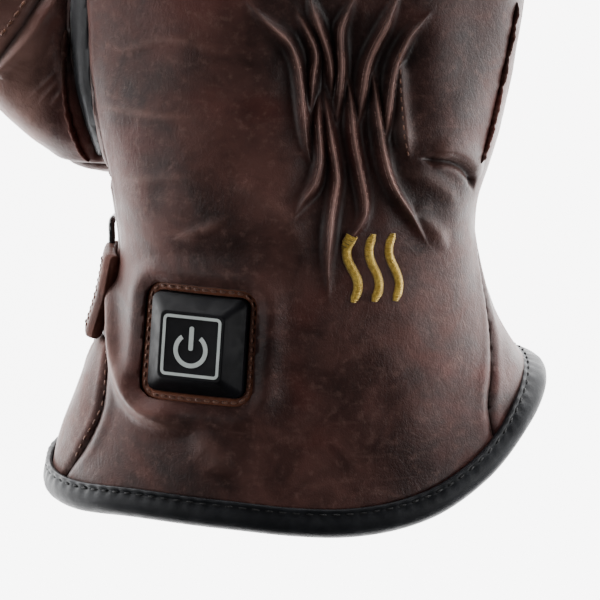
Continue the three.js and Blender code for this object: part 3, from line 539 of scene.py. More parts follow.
    def part(self, label: int) -> tuple[Array, Array, Array]:
        """One label's own points, triangles, and the numbers of its points in the whole."""
        faces = self.faces[self.labels == label]
        used, back = np.unique(faces, return_inverse=True)
        return self.points[used], back.reshape(-1, 3), used


def mesh_object(name: str, points: Array, faces: Sequence[Sequence[int]] | Array) -> Piece:
    """Make a mesh object at the origin from points in metres and its faces."""
    mesh = bpy.data.meshes.new(name)
    faces = faces.tolist() if isinstance(faces, np.ndarray) else faces
    mesh.from_pydata(points.tolist(), [], faces)
    mesh.update()
    mesh.shade_smooth()
    piece = bpy.data.objects.new(name, mesh)
    bpy.context.collection.objects.link(piece)
    return piece


def grid_faces(rows: int, sides: int, first: int = 0) -> list[list[int]]:
    """The four-sided faces between rings of points that follow one another."""
    faces = []
    for r in range(rows - 1):
        for i in range(sides):
            a, b = first + r * sides + i, first + r * sides + (i + 1) % sides
            faces.append([a, b, b + sides, a + sides])
    return faces


def tube_faces(rings: int, sides: int, first: int = 0) -> list[list[int]]:
    """The faces of a tube that is closed at both ends, round two middle points that follow its rings."""
    ends, last = first + rings * sides, first + (rings - 1) * sides
    faces = grid_faces(rings, sides, first)
    faces += [[first + (i + 1) % sides, first + i, ends] for i in range(sides)]
    return faces + [[last + i, last + (i + 1) % sides, ends + 1] for i in range(sides)]


def loop_faces(rings: int, sides: int) -> list[list[int]]:
    """The faces of a tube whose last ring joins its first."""
    last = (rings - 1) * sides
    closing = [[last + i, last + (i + 1) % sides, (i + 1) % sides, i] for i in range(sides)]
    return grid_faces(rings, sides) + closing


def lookup_tree(points: Array) -> kdtree.KDTree:
    """A tree that finds the nearest of some points."""
    tree = kdtree.KDTree(len(points))
    for number, point in enumerate(points):
        tree.insert(Vector(point), number)
    tree.balance()
    return tree


def rounded_box(half_x: float, half_y: float, corner: float, steps: int, spacing: float) -> Array:
    """Evenly spaced points round a flat box with rounded corners.

    Args:
        half_x: Half its width.
        half_y: Half its height.
        corner: The radius of its corners.
        steps: Points on each corner, before they are spaced evenly.
        spacing: How far apart the points lie in the end.

    Returns:
        One row for each point.
    """
    corners = []
    for k, (sx, sy) in enumerate(((1, 1), (-1, 1), (-1, -1), (1, -1))):
        turn = np.linspace(0, np.pi / 2, steps) + k * np.pi / 2
        x = sx * (half_x - corner) + corner * np.cos(turn)
        corners.append(np.stack([x, sy * (half_y - corner) + corner * np.sin(turn)], 1))
    flat = np.concatenate(corners)
    return resampled(np.concatenate([flat, flat[:1]]), spacing)[:-1]


def round_rings(path: Array, side: Array, up: Array, radius: float, sides: int) -> Array:
    """Round rings across a path, from the two directions across it at each of its points."""
    a = np.linspace(0, 2 * np.pi, sides, endpoint=False)
    across = np.cos(a)[None, :, None] * side[:, None] + np.sin(a)[None, :, None] * up[:, None]
    return path[:, None] + radius * across


def make_active(piece: Piece) -> None:
    """Select one object alone and make it the active one."""
    if bpy.context.object and bpy.context.object.mode != "OBJECT":
        bpy.ops.object.mode_set(mode="OBJECT")
    bpy.ops.object.select_all(action="DESELECT")
    piece.select_set(True)
    bpy.context.view_layer.objects.active = piece


def select_whole() -> None:
    """Select all of the mesh that is being edited."""
    bpy.ops.mesh.select_all(action="SELECT")


def face_outwards(piece: Piece) -> None:
    """Turn all of a closed mesh's faces outwards."""
    make_active(piece)
    bpy.ops.object.mode_set(mode="EDIT")
    select_whole()
    bpy.ops.mesh.normals_make_consistent(inside=False)
    bpy.ops.object.mode_set(mode="OBJECT")


def apply_modifier(piece: Piece, kind: str, **settings: object) -> None:
    """Add a modifier with its settings and apply it to the mesh."""
    make_active(piece)
    modifier = piece.modifiers.new(kind.lower(), kind)
    for key, value in settings.items():
        setattr(modifier, key, value)
    bpy.ops.object.modifier_apply(modifier=modifier.name)


def soft_noise(points: Array, size: float, seed: int) -> Array:
    """Smooth noise between -1 and 1.

    Args:
        points: Where it is read.
        size: How large its features are, in the points' unit.
        seed: Picks one pattern.

    Returns:
        One number for each point.
    """
    place = points / size
    cell = np.floor(place).astype(np.int64)
    part = place - cell
    part = part * part * (3 - 2 * part)
    total = np.zeros(len(points))
    for corner in range(8):
        step = np.array([corner & 1, (corner >> 1) & 1, corner >> 2])
        key = (cell + step) @ np.array([73856093, 19349663, 83492791]) + seed * 7919
        key = (key ^ (key >> 13)) * 1274126177 & 0x7FFFFFFF
        value = (key ^ (key >> 16)) % 65536 / 32767.5 - 1
        total += value * np.prod(np.where(step, part, 1 - part), axis=1)
    return total


class PictureMap:
    """Finds where a pixel of the picture falls on a surface."""

    def __init__(self, surface: Surface, form: GloveForm, view: Viewpoint) -> None:
        """Sort the surface's triangles for quick finding."""
        self.form, self.view = form, view
        self.tree = BVHTree.FromPolygons(form.to_model(surface.points).tolist(), surface.faces.tolist())

    def pick(self, pixel: Pixel) -> Optional[Array]:
        """The point of the surface, in millimetres, that a pixel shows, or None beside it."""
        hit = self.tree.ray_cast(self.view.eye(), self.view.ray(pixel))[0]
        return None if hit is None else self.form.to_wrist(np.array(hit))

    def line(self, pixels: Sequence[Pixel], step: float = 4.0) -> Array:
        """A line over the surface.

        Args:
            pixels: The corners that it passes near, in the picture.
            step: How many pixels lie between its points.

        Returns:
            Its points in millimetres.
        """
        smooth = resampled(rounded(np.array(pixels, float)), step)
        found = [self.pick((p[0], p[1])) for p in smooth]
        return np.array([p for p in found if p is not None])

    def seat(self, point: Array) -> tuple[Array, Array]:
        """The nearest point of the surface and the direction outwards there."""
        place, normal, _, _ = self.tree.find_nearest(Vector(self.form.to_model(point)))
        return self.form.to_wrist(np.array(place)), np.array(normal)


# ------------------------ finishes


class NodeBoard:
    """The nodes of one material, laid out as they are added."""

    def __init__(self, name: str) -> None:
        """Start a material with its shader and the place on the object."""
        self.material = bpy.data.materials.new(name)
        self.material.use_nodes = True
        self.tree = self.material.node_tree
        self.shader = self.tree.nodes["Principled BSDF"]
        self.place = self.tree.nodes.new("ShaderNodeTexCoord").outputs["Object"]

    def _node(self, kind: str, **inputs: object) -> bpy.types.Node:
        """Add a node and set or link its inputs."""
        node = self.tree.nodes.new(kind)
        for key, value in inputs.items():
            self.feed(node.inputs[key.replace("_", " ")], value)
        return node

    def feed(self, socket: Socket, value: object) -> None:
        """Link a socket to another, or set its value."""
        if isinstance(value, Socket):
            self.tree.links.new(value, socket)
        else:
            socket.default_value = value

    def set(self, **inputs: object) -> None:
        """Set or link the shader's inputs by name."""
        for key, value in inputs.items():
            self.feed(self.shader.inputs[key.replace("_", " ")], value)

    def noise(
            self, scale: float, detail: float = 3, roughness: float = 0.5, distortion: float = 0,
            place: object = None) -> Socket:
        """Noise over the object, scale features to the metre."""
        node = self._node(
            "ShaderNodeTexNoise", Vector=place or self.place, Scale=scale, Detail=detail, Roughness=roughness,
            Distortion=distortion)
        return node.outputs["Fac"]

    def cells(self, scale: float, feature: str = "DISTANCE_TO_EDGE", place: object = None) -> Socket:
        """Cells over the object, scale cells to the metre."""
        node = self.tree.nodes.new("ShaderNodeTexVoronoi")
        node.feature = feature
        self.feed(node.inputs["Vector"], place or self.place)
        self.feed(node.inputs["Scale"], scale)
        return node.outputs["Distance"]

    def stretched(self, x: float, y: float, z: float) -> Socket:
        """The place on the object, scaled along each axis."""
        return self._node("ShaderNodeMapping", Vector=self.place, Scale=(x, y, z)).outputs["Vector"]

    def attribute(self, name: str) -> Socket:
        """A number that the piece's points carry."""
        node = self.tree.nodes.new("ShaderNodeAttribute")
        node.attribute_name = name
        return node.outputs["Fac"]

    def span(self, value: object, low: float, high: float, start: float = 0, end: float = 1) -> Socket:
        """Turn a range of values smoothly into another."""
        node = self.tree.nodes.new("ShaderNodeMapRange")
        node.interpolation_type = "SMOOTHSTEP"
        for key, number in zip(
            ("Value", "From Min", "From Max", "To Min", "To Max"), (value, low, high, start, end)):
            self.feed(node.inputs[key], number)
        return node.outputs["Result"]

    def maths(self, kind: str, first: object, second: object = 0.0) -> Socket:
        """One step of arithmetic."""
        node = self.tree.nodes.new("ShaderNodeMath")
        node.operation = kind
        self.feed(node.inputs[0], first)
        self.feed(node.inputs[1], second)
        return node.outputs[0]

    def mix(self, share: object, first: object, second: object) -> Socket:
        """Mix two colours."""
        node = self.tree.nodes.new("ShaderNodeMix")
        node.data_type = "RGBA"
        for socket, value in (
            (node.inputs["Factor"], share), (node.inputs[6], first), (node.inputs[7], second)):
            self.feed(socket, value)
        return node.outputs[2]

    def bump(self, height: object, distance: float, strength: float = 1.0, normal: object = None) -> Socket:
        """Raise the surface by a height, distance metres at most."""
        node = self._node("ShaderNodeBump", Height=height, Distance=distance, Strength=strength)
        if normal is not None:
            self.feed(node.inputs["Normal"], normal)
        return node.outputs["Normal"]


Colour = tuple[float, float, float, float]


def colour(red: float, green: float, blue: float) -> Colour:
    """A colour as shader sockets take it."""
    return (red, green, blue, 1.0)


@dataclass(frozen=True)
class LeatherFinish:
    """Antiqued leather: dark with warmer patches, paler where rubbed and with painted highlights, and with
    painted shade in its seams, creases and valleys.
    """

    name: str = "antiqued leather"
    dark: Colour = colour(0.024, 0.0115, 0.0105)
    warm: Colour = colour(0.108, 0.044, 0.036)
    red: Colour = colour(0.125, 0.034, 0.027)
    # pale of rubbed leather, also the colour of the painted highlights
    rubbed_and_highlight: Colour = colour(0.27, 0.15, 0.125)
    # painted shade for creases, seam grooves and the gather's valleys
    painted_shade: Colour = colour(0.006, 0.0035, 0.0035)
    roughness: float = 0.45
    grain: float = 1150.0
    gloss: float = 0.24

    def material(self) -> bpy.types.Material:
        """Make the material."""
        b = NodeBoard(self.name)
        broad, patch, fleck = b.noise(30, 4, 0.55), b.noise(95, 5, 0.6, 0.6), b.noise(420, 4, 0.65)
        tone = b.maths("ADD", b.maths("MULTIPLY", broad, 0.55), b.maths("MULTIPLY", patch, 0.45))
        base = b.mix(b.span(tone, 0.34, 0.7), self.dark, self.warm)
        blush = b.noise(30, 3, 0.5, 0.6, b.stretched(1.0, 1.5, 1.0))
        base = b.mix(b.span(blush, 0.48, 0.72, 0, 0.42), base, self.red)
        streak = b.noise(140, 5, 0.7, 1.0, b.stretched(0.35, 1.6, 1.0))
        base = b.mix(b.span(streak, 0.56, 0.76, 0, 0.16), base, self.rubbed_and_highlight)
        base = b.mix(b.span(fleck, 0.5, 0.75, 0, 0.2), base, self.rubbed_and_highlight)
        # paler with rubbing along ridges, and painted highlights on the gather's crests and the thumb's top
        base = b.mix(
            b.maths("MULTIPLY", b.attribute("wear_and_highlight"), b.span(patch, 0.3, 0.7, 0.35, 0.8)), base, self.rubbed_and_highlight)
        # painted shade in creases, seam grooves and the gather's valleys
        base = b.mix(b.attribute("shade"), base, self.painted_shade)
        rough = b.span(patch, 0.3, 0.75, self.roughness - 0.07, self.roughness + 0.13)
        grain = b.span(b.cells(self.grain), 0.0, 0.22)
        pores = b.noise(2600, 2, 0.6)
        creases = b.span(b.noise(330, 6, 0.62, 1.4, b.stretched(1.0, 0.6, 1.0)), 0.35, 0.65)
        normal = b.bump(creases, 0.00014, 0.26)
        normal = b.bump(b.maths("ADD", grain, b.maths("MULTIPLY", pores, 0.5)), 0.00005, 0.36, normal)
        b.set(Base_Color=base, Roughness=rough, Normal=normal, Specular_IOR_Level=self.gloss)
        b.set(
            Coat_Weight=self.gloss / 8, Coat_Roughness=0.3, Sheen_Weight=0.12, Sheen_Roughness=0.45,
            Sheen_Tint=colour(0.9, 0.62, 0.55))
        return b.material


@dataclass(frozen=True)
class PlainFinish:
    """A finish of one colour with a fine broken surface, such as cloth, moulding, wire or print."""

    name: str
    base: Colour
    light: Colour
    roughness: float = 0.5
    grain: float = 1800.0
    depth: float = 0.00006
    mottle: float = 120.0
    sheen: float = 0.0
    metallic: float = 0.0
    coat: float = 0.0
    weave: float = 0.0
    gloss: float = 0.5

    def material(self) -> bpy.types.Material:
        """Make the material."""
        b = NodeBoard(self.name)
        patch = b.noise(self.mottle, 4, 0.6)
        base = b.mix(b.span(patch, 0.35, 0.7), self.base, self.light)
        rough = b.span(b.noise(self.mottle * 3, 3), 0.3, 0.7, self.roughness - 0.06, self.roughness + 0.08)
        height = b.noise(self.grain, 4, 0.6)
        if self.weave:
            across = b.cells(self.weave, "F1", b.stretched(1.0, 0.55, 1.0))
            height = b.maths("ADD", b.maths("MULTIPLY", height, 0.35), b.maths("SUBTRACT", 1.0, across))
        normal = b.bump(height, self.depth, 0.9)
        b.set(
            Base_Color=base, Roughness=rough, Normal=normal, Metallic=self.metallic,
            Specular_IOR_Level=self.gloss)
        b.set(Sheen_Weight=self.sheen, Sheen_Roughness=0.5, Coat_Weight=self.coat, Coat_Roughness=0.25)
        return b.material


class Finish(Enum):
    """The glove's finishes, each with the record's slot that it belongs to."""

    LEATHER = "leather", LeatherFinish()
    STRAP = "strap", LeatherFinish(
        "strap leather", colour(0.03, 0.0125, 0.0105), colour(0.1, 0.04, 0.03), gloss=0.05)
    GUSSET = "leather", LeatherFinish(
        "gusset leather", colour(0.03, 0.0125, 0.0105), colour(0.1, 0.04, 0.03), gloss=0.06)
    WINDOW = "window", LeatherFinish(
        "window edge leather", colour(0.1, 0.033, 0.017), colour(0.21, 0.072, 0.036), roughness=0.5)
    CUT_EDGE = "leather", LeatherFinish(
        "cut leather edge", colour(0.008, 0.004, 0.0035), colour(0.035, 0.013, 0.009), roughness=0.8,
        gloss=0.05)
    STRIP = "strip", PlainFinish(
        "black stretch strip", colour(0.008, 0.0085, 0.011), colour(0.02, 0.021, 0.026), 0.5, 900, 0.00008,
        sheen=0.15)
    BINDING = "binding", PlainFinish(
        "black binding", colour(0.009, 0.0095, 0.0115), colour(0.02, 0.021, 0.024), 0.45, 1300, 0.00006,
        gloss=0.2)
    PLASTIC = "plastic", PlainFinish(
        "black moulding", colour(0.006, 0.006, 0.007), colour(0.009, 0.009, 0.011), 0.42, 3500, 0.000015,
        gloss=0.1)
    RING = "ring", PlainFinish(
        "black wire", colour(0.01, 0.01, 0.011), colour(0.02, 0.02, 0.022), 0.22, 2500, 0.00001, coat=0.4)
    THREAD = "thread", PlainFinish(
        "gold embroidery thread", colour(0.5, 0.31, 0.035), colour(0.78, 0.55, 0.1), 0.38, 6000, 0.00008, 900,
        0.3, 0.25)
    STITCH = "stitching", PlainFinish(
        "rust sewing thread", colour(0.1, 0.034, 0.017), colour(0.2, 0.075, 0.036), 0.55, 6000, 0.00008, 700,
        0.2)
    BLACK_STITCH = "stitching", PlainFinish(
        "black sewing thread", colour(0.004, 0.004, 0.0045), colour(0.009, 0.009, 0.01), 0.75, 6000, 0.00008,
        700)
    SYMBOL = "symbol", PlainFinish(
        "light grey print", colour(0.5, 0.55, 0.53), colour(0.58, 0.63, 0.61), 0.5, 5000, 0.000005)
    LINING = "lining", PlainFinish(
        "black fleece", colour(0.012, 0.012, 0.013), colour(0.035, 0.034, 0.036), 0.95, 1500, 0.0005, 300,
        0.5)

    def dress(self, piece: Piece) -> None:
        """Give a piece this finish's material, made once."""
        slot, finish = self.value
        made = bpy.data.materials.get(finish.name) or finish.material()
        piece.data.materials.clear()
        piece.data.materials.append(made)


def settle(piece: Piece, finish: Finish, *nodes: str, padding: Optional[float] = None) -> None:
    """Dress a finished piece, hang it on the root body, and hide the solids that it stands for.

    Args:
        piece: The finished piece.
        finish: Its finish.
        nodes: The solids that it stands for.
        padding: How full it is, where it is padded. Not used.
    """
    finish.dress(piece)
    if nodes:
        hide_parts(*nodes)
    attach(piece, "root")
    log.info("%s: %d faces", piece.name, len(piece.data.polygons))


# ------------------------ the leather shell


class Panel(Enum):
    """The sewn panels: each one's label, its solid, and its finish."""

    BACK = (1, "back_panel", Finish.LEATHER)
    PALM = (2, "palm_panel", Finish.LEATHER)
    THUMB_BASE = (3, "thumb_base", Finish.LEATHER)
    THUMB_BACK = (4, "thumb_back", Finish.LEATHER)
    THUMB_FRONT = (5, "thumb_front", Finish.LEATHER)
    GUSSET = (6, "cuff_gusset", Finish.GUSSET)
    STRIP = (7, "side_strip", Finish.STRIP)
    FIRST_FOURCHETTE = (8, "fourchette_index_middle", Finish.STRIP)
    SECOND_FOURCHETTE = (9, "fourchette_middle_ring", Finish.STRIP)
    THIRD_FOURCHETTE = (10, "fourchette_ring_little", Finish.STRIP)

    @property
    def label(self) -> int:
        """The number that marks its triangles."""
        return self.value[0]


@dataclass(frozen=True)
class Fold:
    """A ridge or a crease of the leather, along a line of the picture's pixels.

    rise is in millimetres, below zero for a crease, and width is how soon it falls away. wear_and_highlight
    makes its crest paler, partly as rubbing and partly as painted highlight, and sharp is 1 for a pinched
    crest and 0 for a round one. ends is the share of its length over which it fades, and drawn is how many
    pixels its line is drawn out at each end.
    """

    pixels: Line
    rise: float
    width: float
    wear_and_highlight: float = 0.0
    sharp: float = 0.0
    ends: float = 0.25
    drawn: float = 0.0

    def line(self) -> list[Pixel]:
        """Its pixels, drawn out at both ends so that it fades slowly."""
        way = np.array(self.pixels, float)
        first, last = way[0] - way[1], way[-1] - way[-2]
        first, last = (v / max(float(np.linalg.norm(v)), 1e-6) * self.drawn for v in (first, last))
        return [tuple(p) for p in np.concatenate([[way[0] + first], way, [way[-1] + last]])]


def gather_fold(rise: float, width: float, wear_and_highlight: float, *pixels: Pixel) -> Fold:
    """A pinched fold of the elastic gather, drawn out so that it fades slowly at both ends."""
    return Fold(pixels, rise, width, wear_and_highlight, sharp=1, ends=0.36, drawn=16)


@dataclass(frozen=True)
class Swell:
    """A broad swelling or hollow of the leather round a pixel, reaching over so many millimetres."""

    pixel: Pixel
    reach: tuple[float, float]
    rise: float


@dataclass
class ButtonPlace:
    """Where the button sits on the cuff, and its square window in the leather."""

    x: float = -25.6
    y: float = -24.7
    side: float = 25.0
    corner: float = 2.2
    ledge: float = 2.2

    def axes(self, form: GloveForm) -> Matrix:
        """The axes on the cuff's outside at the button's middle, in millimetres."""
        degrees, along = 90.0, self.y / form.cuff_length
        for _ in range(12):
            p = form.hand_points(degrees, along)
            degrees += math.degrees(1) * (p[0] - self.x) / float(form.section(along)[2])
            along -= (p[1] - self.y) / form.cuff_length
        at = lambda d, a: form.hand_points(degrees + d, along + a)
        across = Vector(at(-4, 0) - at(4, 0)).normalized()
        ahead = Vector(at(0, 0.05) - at(0, -0.05)).normalized()
        normal = across.cross(ahead).normalized()
        place = Matrix((across, normal.cross(across), normal)).transposed().to_4x4()
        place.translation = Vector(at(0, 0))
        return place

    def outside(self, form: GloveForm, points: Array, grow: float) -> Array:
        """How far points lie outside the rounded square, grown by a margin."""
        back = np.array(self.axes(form).inverted())
        flat = points @ back[:3, :3].T + back[:3, 3]
        half = self.side / 2 + grow
        corner = self.corner + grow
        q = np.abs(flat[:, :2]) - (half - corner)
        gap = np.linalg.norm(np.maximum(q, 0), axis=1) + np.minimum(np.max(q, axis=1), 0) - corner
        return np.where(np.abs(flat[:, 2]) < 12, gap, 60.0)


@dataclass
class LeatherShell:
    """The padded shell, made as one form and cut into its sewn panels. Lengths are in millimetres."""

    form: GloveForm
    view: Viewpoint
    button: ButtonPlace
    voxel: float = 1.3
    leather: float = 1.3
    finger_roots: float = 107.0
    thumb_crotch: float = -59.0
    groove: float = 0.75
    groove_width: float = 1.0
    lip: float = 0.25
    window_puff: float = 1.7
    # the gather's crests: how wide their folds and their painted highlight lines are, and how pale those are
    crest_width: float = 1.5
    crest_line: float = 0.32
    crest_highlight: float = 1.9
    # the valleys between them: how far they reach, how deep they lie and how dark their painted shade is
    valley_reach: float = 4.6
    valley_depth: float = 0.9
    valley_shade: float = 0.9
    # how pale the thumb's upper side is made: rubbing, and painted light where it faces the lamps
    thumb_light_and_wear: float = 1.1
    strip_pixels: Line = ((77, 2), (78, 22), (80, 65), (83, 95), (89, 124), (96, 148), (99, 158))
    # share of the strip's length from its lower end, half its width
    strip_rows: Table = (
        (0, 0.6), (0.04, 1.4), (0.1, 2.1), (0.2, 2.9), (0.32, 3.9), (0.5, 5.3), (0.7, 4.4), (0.97, 4.2),
        (1.0, 3.0),
    )
    gusset_rows: Table = (
        (-1.4, 0.19, 0.63), (-1.0, 0.2, 0.64), (-0.82, 0.25, 0.7), (-0.68, 0.3, 0.71), (-0.55, 0.38, 0.67),
        (-0.43, 0.5, 0.62),
    )
    thumb_seam: tuple[tuple[float, float], ...] = (
        (-0.4, 0.1), (-0.45, 0.15), (-0.49, 0.28), (-0.516, 0.42), (-0.521, 0.555), (-0.58, 0.74),
        (-0.68, 1.2),
    )
    thumb_ring: tuple[tuple[float, float], ...] = ((-0.8, 0.167), (-0.446, 0.7))
    folds: tuple[Fold, ...] = (
        gather_fold(
            3.1, 1.35, 0.8, (254, 9), (264, 20), (277, 31), (290, 43), (297, 63), (300, 85), (303, 115),
            (306, 145), (310, 159)),
        gather_fold(2.5, 1.15, 0.7, (301, 20), (309, 35), (315, 49), (316, 61), (313, 76), (311, 106)),
        gather_fold(2.7, 1.15, 0.7, (310, 0), (314, 14), (320, 30), (327, 49), (331, 67), (332, 93)),
        gather_fold(
            3.1, 1.15, 0.8, (351, 5), (343, 22), (340, 32), (341, 54), (342, 69), (340, 92), (338, 115)),
        gather_fold(3.3, 1.25, 0.9, (396, 0), (386, 25), (373, 49), (366, 69), (363, 93), (359, 121)),
        gather_fold(3.1, 1.25, 0.8, (420, 23), (408, 36), (400, 52), (393, 70), (388, 112), (385, 141)),
        Fold(((401, 51), (400, 76), (401, 98), (403, 118), (405, 141), (409, 160)), 2.2, 1.8, 0.6, 0.6),
        gather_fold(
            3.3, 1.25, 0.9, (348, 80), (351, 98), (352, 118), (354, 141), (360, 172), (364, 195), (365, 210),
            (362, 221), (350, 238)),
        gather_fold(
            3.3, 1.35, 0.9, (373, 72), (375, 92), (378, 118), (380, 134), (383, 156), (389, 181), (398, 199),
            (408, 212), (420, 232)),
        gather_fold(
            3.1, 1.25, 0.9, (325, 94), (329, 123), (332, 145), (336, 167), (337, 183), (334, 199), (330, 225),
            (327, 255), (328, 285)),
        gather_fold(
            2.7, 1.15, 0.7, (319, 102), (318, 117), (319, 134), (321, 156), (319, 172), (314, 188),
            (305, 199), (300, 208)),
        Fold(
            ((420, 158), (434, 160), (449, 161), (460, 166), (470, 177), (470, 189)), -2.3, 1.3, 0, 0.4, 0.2),
        Fold(((425, 150), (440, 152), (455, 155), (470, 163), (480, 172)), 1.3, 3.4, 0.3, 0, 0.3),
        Fold(
            ((118, 268), (114, 300), (113, 335), (118, 372), (134, 405), (160, 422), (190, 430)), 2.2, 2.6,
            0.5, 0.3, 0.2),
        Fold(((190, 432), (215, 455), (232, 480)), 1.2, 4.0, 0.2, 0, 0.4),
        Fold(((25, 101), (36, 92), (49, 80), (58, 69)), 0.32, 0.8, 0.5, 0.6, 0.4),
        Fold(((38, 104), (47, 94), (58, 80)), 0.32, 0.8, 0.5, 0.6, 0.4),
        Fold(((50, 106), (57, 98), (62, 90)), 0.28, 0.8, 0.4, 0.6, 0.4),
        Fold(((0, 68), (14, 56), (31, 38), (46, 16), (56, 0)), 1.2, 2.0, 0.35, 0.2, 0.05, 6),
        Fold(((108, 52), (130, 50), (160, 38), (196, 44), (232, 52)), 0.16, 1.4, 0.3, 0, 0.4),
        Fold(((96, 108), (128, 110), (160, 118), (205, 118)), 0.2, 1.5, 0.35, 0, 0.4),
        Fold(((112, 178), (140, 182), (180, 176), (216, 186)), 0.18, 1.8, 0.25, 0, 0.4),
        Fold(((172, 240), (196, 232), (214, 226), (232, 214)), 0.35, 1.5, 0.45, 0, 0.4),
        Fold(((398, 205), (418, 214), (436, 232), (448, 250)), 0.9, 2.2, 0.3, 0.2, 0.35),
        Fold(((395, 175), (415, 172), (440, 185), (455, 205)), 0.5, 2.4, 0.3, 0, 0.35),
        Fold(((230, 180), (262, 196), (290, 222), (300, 250)), 0.5, 2.6, 0.2, 0, 0.35),
    )
    swells: tuple[Swell, ...] = (
        Swell((200, 60), (14, 18), 1.2),
        Swell((180, 190), (16, 14), 1.3),
        Swell((445, 130), (10, 12), 1.8),
        Swell((430, 60), (9, 14), 1.2),
        Swell((455, 205), (8, 9), 1.2),
        Swell((420, 420), (12, 14), 1.0),
        Swell((310, 430), (14, 14), -0.8),
        Swell((280, 300), (10, 16), 0.9),
        Swell((345, 60), (13, 16), -1.6),
        Swell((350, 150), (11, 14), -1.8),
    )

    def merged(self) -> Surface:
        """Join the hand, its fingers and the thumb into one closed form, and soften where they meet."""
        form = self.form
        degrees = np.arange(0, 360, 2.0)
        along = np.concatenate([np.linspace(-1.32, -0.9, 26), np.linspace(-0.885, 1.0, 130), [1.02, 1.04]])
        hand = form.hand_points(degrees[None, :], along[:, None])
        tubes = [hand, *[form.finger_rings(one) for one in form.fingers], form.thumb_rings()]
        points, faces = [], []
        for rings in tubes:
            first = sum(len(p) for p in points)
            count = rings.shape[1]
            points.append(rings.reshape(-1, 3))
            points.append(np.stack([rings[0].mean(axis=0), rings[-1].mean(axis=0)]))
            faces += tube_faces(len(rings), count, first)
        whole = mesh_object("glove_form", np.concatenate(points) * 0.001, faces)
        face_outwards(whole)
        apply_modifier(whole, "REMESH", mode="VOXEL", voxel_size=self.voxel * 0.001)
        mesh = whole.data
        co = np.empty(len(mesh.vertices) * 3)
        mesh.vertices.foreach_get("co", co)
        mesh.calc_loop_triangles()
        tri = np.empty(len(mesh.loop_triangles) * 3, np.int32)
        mesh.loop_triangles.foreach_get("vertices", tri)
        surface = Surface(co.reshape(-1, 3) * 1000, tri.reshape(-1, 3).astype(np.int64))
        bpy.data.objects.remove(whole)
        return surface

    def soften(self, surface: Surface) -> None:
        """Round off the steps of the merged form, more so at the finger roots and the thumb's crotch."""
        p = surface.points
        roots = np.exp(-(((p[:, 1] - self.finger_roots) / 11) ** 2)) * (p[:, 0] > -62)
        crotch = np.exp(-(((p[:, 0] - self.thumb_crotch) / 8) ** 2)) * smoothstep(8, 20, p[:, 1])
        crotch = crotch * (1 - smoothstep(78, 92, p[:, 1]))
        weight = np.clip(0.25 + 0.45 * roots + 0.45 * crotch, 0, 0.7)
        surface.smooth(np.full(len(p), 0.5), 3)
        surface.smooth(weight * smoothstep(0.3, 0.5, weight), 22)
        surface.points[:, 2] = np.maximum(surface.points[:, 2], 0)

    def hem_measure(self, points: Array) -> Array:
        """Above zero where the leather has reached the hem's binding."""
        x, z, half_wide, half_thick = self.form.section(np.full(len(points), -1.0))
        degrees = np.degrees(np.arctan2((points[:, 2] - z) / half_thick, (points[:, 0] - x) / half_wide))
        return points[:, 1] + self.form.cuff_length * (1 - self.form.hem_short(degrees))

    def strip_line(self, picture: PictureMap) -> Array:
        """The middle of the strip: from the wrist, over the hand's side, to the index finger's end."""
        index = self.form.fingers[0]
        seen = picture.line(self.strip_pixels[::-1], 6)
        hidden = []
        for y in (66.0, 80.0, 94.0):
            x = -0.49 * self.form.palm_width
            height = float(self.form.seam_height(np.array([x]), np.array([y]))[0])
            hidden.append(picture.seat(np.array([x - 8, y, height]))[0])
        turn = math.radians(index.fan)
        out = np.array([-math.cos(turn), math.sin(turn), 0])
        for share in (0.1, 0.3, 0.5, 0.7, 0.86):
            centre = self.form.finger_centres(index, np.array([share]))[0]
            hidden.append(picture.seat(centre + out * (index.width / 2 + 4))[0])
        return rounded(np.concatenate([seen, np.array(hidden)]), 3)

    def strip_measure(self, line: Array) -> Measure:
        """Measure the strip along the thumb's side of the hand: above zero inside it."""

        def measure(points: Array) -> Array:
            far, share = to_line(points, line)
            return read(self.strip_rows, 1, share) - far

        return measure

    def fourchette_measure(self, first: Finger, second: Finger) -> Measure:
        """Measure the strip between two fingers: above zero inside it."""

        def measure(points: Array) -> Array:
            share = (points[:, 1] - first.y * self.form.palm_length) / first.length
            a, b = self.form.finger_centres(first, share), self.form.finger_centres(second, share)
            middle = (a + b) / 2
            reach = (17 + np.maximum(b[:, 0] - a[:, 0] - (first.width + second.width) / 2, 0)) / 2
            across = reach - np.abs(points[:, 0] - middle[:, 0])
            high = 4.5 - np.abs(points[:, 2] - middle[:, 2])
            return np.minimum.reduce([across, high, (share + 0.16) * 60, (0.86 - share) * 60])

        return measure

    def gusset_measure(self, points: Array) -> Array:
        """Above zero inside the cuff's gusset on the thumb's side."""
        along = points[:, 1] / self.form.cuff_length
        low = read(self.gusset_rows, 1, along) * self.form.hem_thickness
        high = read(self.gusset_rows, 2, along) * self.form.hem_thickness
        side = -0.33 * self.form.hem_width - points[:, 0]
        return np.minimum.reduce([points[:, 2] - low, high - points[:, 2], (-0.43 - along) * 60, side])

    def thumb_measure(self, points: Array) -> Array:
        """Above zero on the thumb's side of its seam on the hand."""
        seam = np.array(self.thumb_seam) * [self.form.palm_width, self.form.palm_length]
        x = read([(q[1], q[0]) for q in seam], 1, points[:, 1])
        top = float(self.form.seam_height(np.array([seam[0][0]]), np.array([seam[0][1]]))[0])
        return np.minimum.reduce([x - points[:, 0], points[:, 1] - seam[0][1], top - points[:, 2]])

    def tube_measure(self, points: Array) -> Array:
        """Above zero beyond the seam round the thumb."""
        a, b = np.array(self.thumb_ring) * [self.form.palm_width, self.form.palm_length]
        out = np.array([a[1] - b[1], b[0] - a[0]])
        out = out / np.linalg.norm(out) * (-1 if out[0] > 0 else 1)
        return (points[:, :2] - a) @ out

    def back_measure(self, points: Array) -> Array:
        """Above zero over the seam between the back and the palm."""
        return points[:, 2] - self.form.seam_height(points[:, 0], points[:, 1])

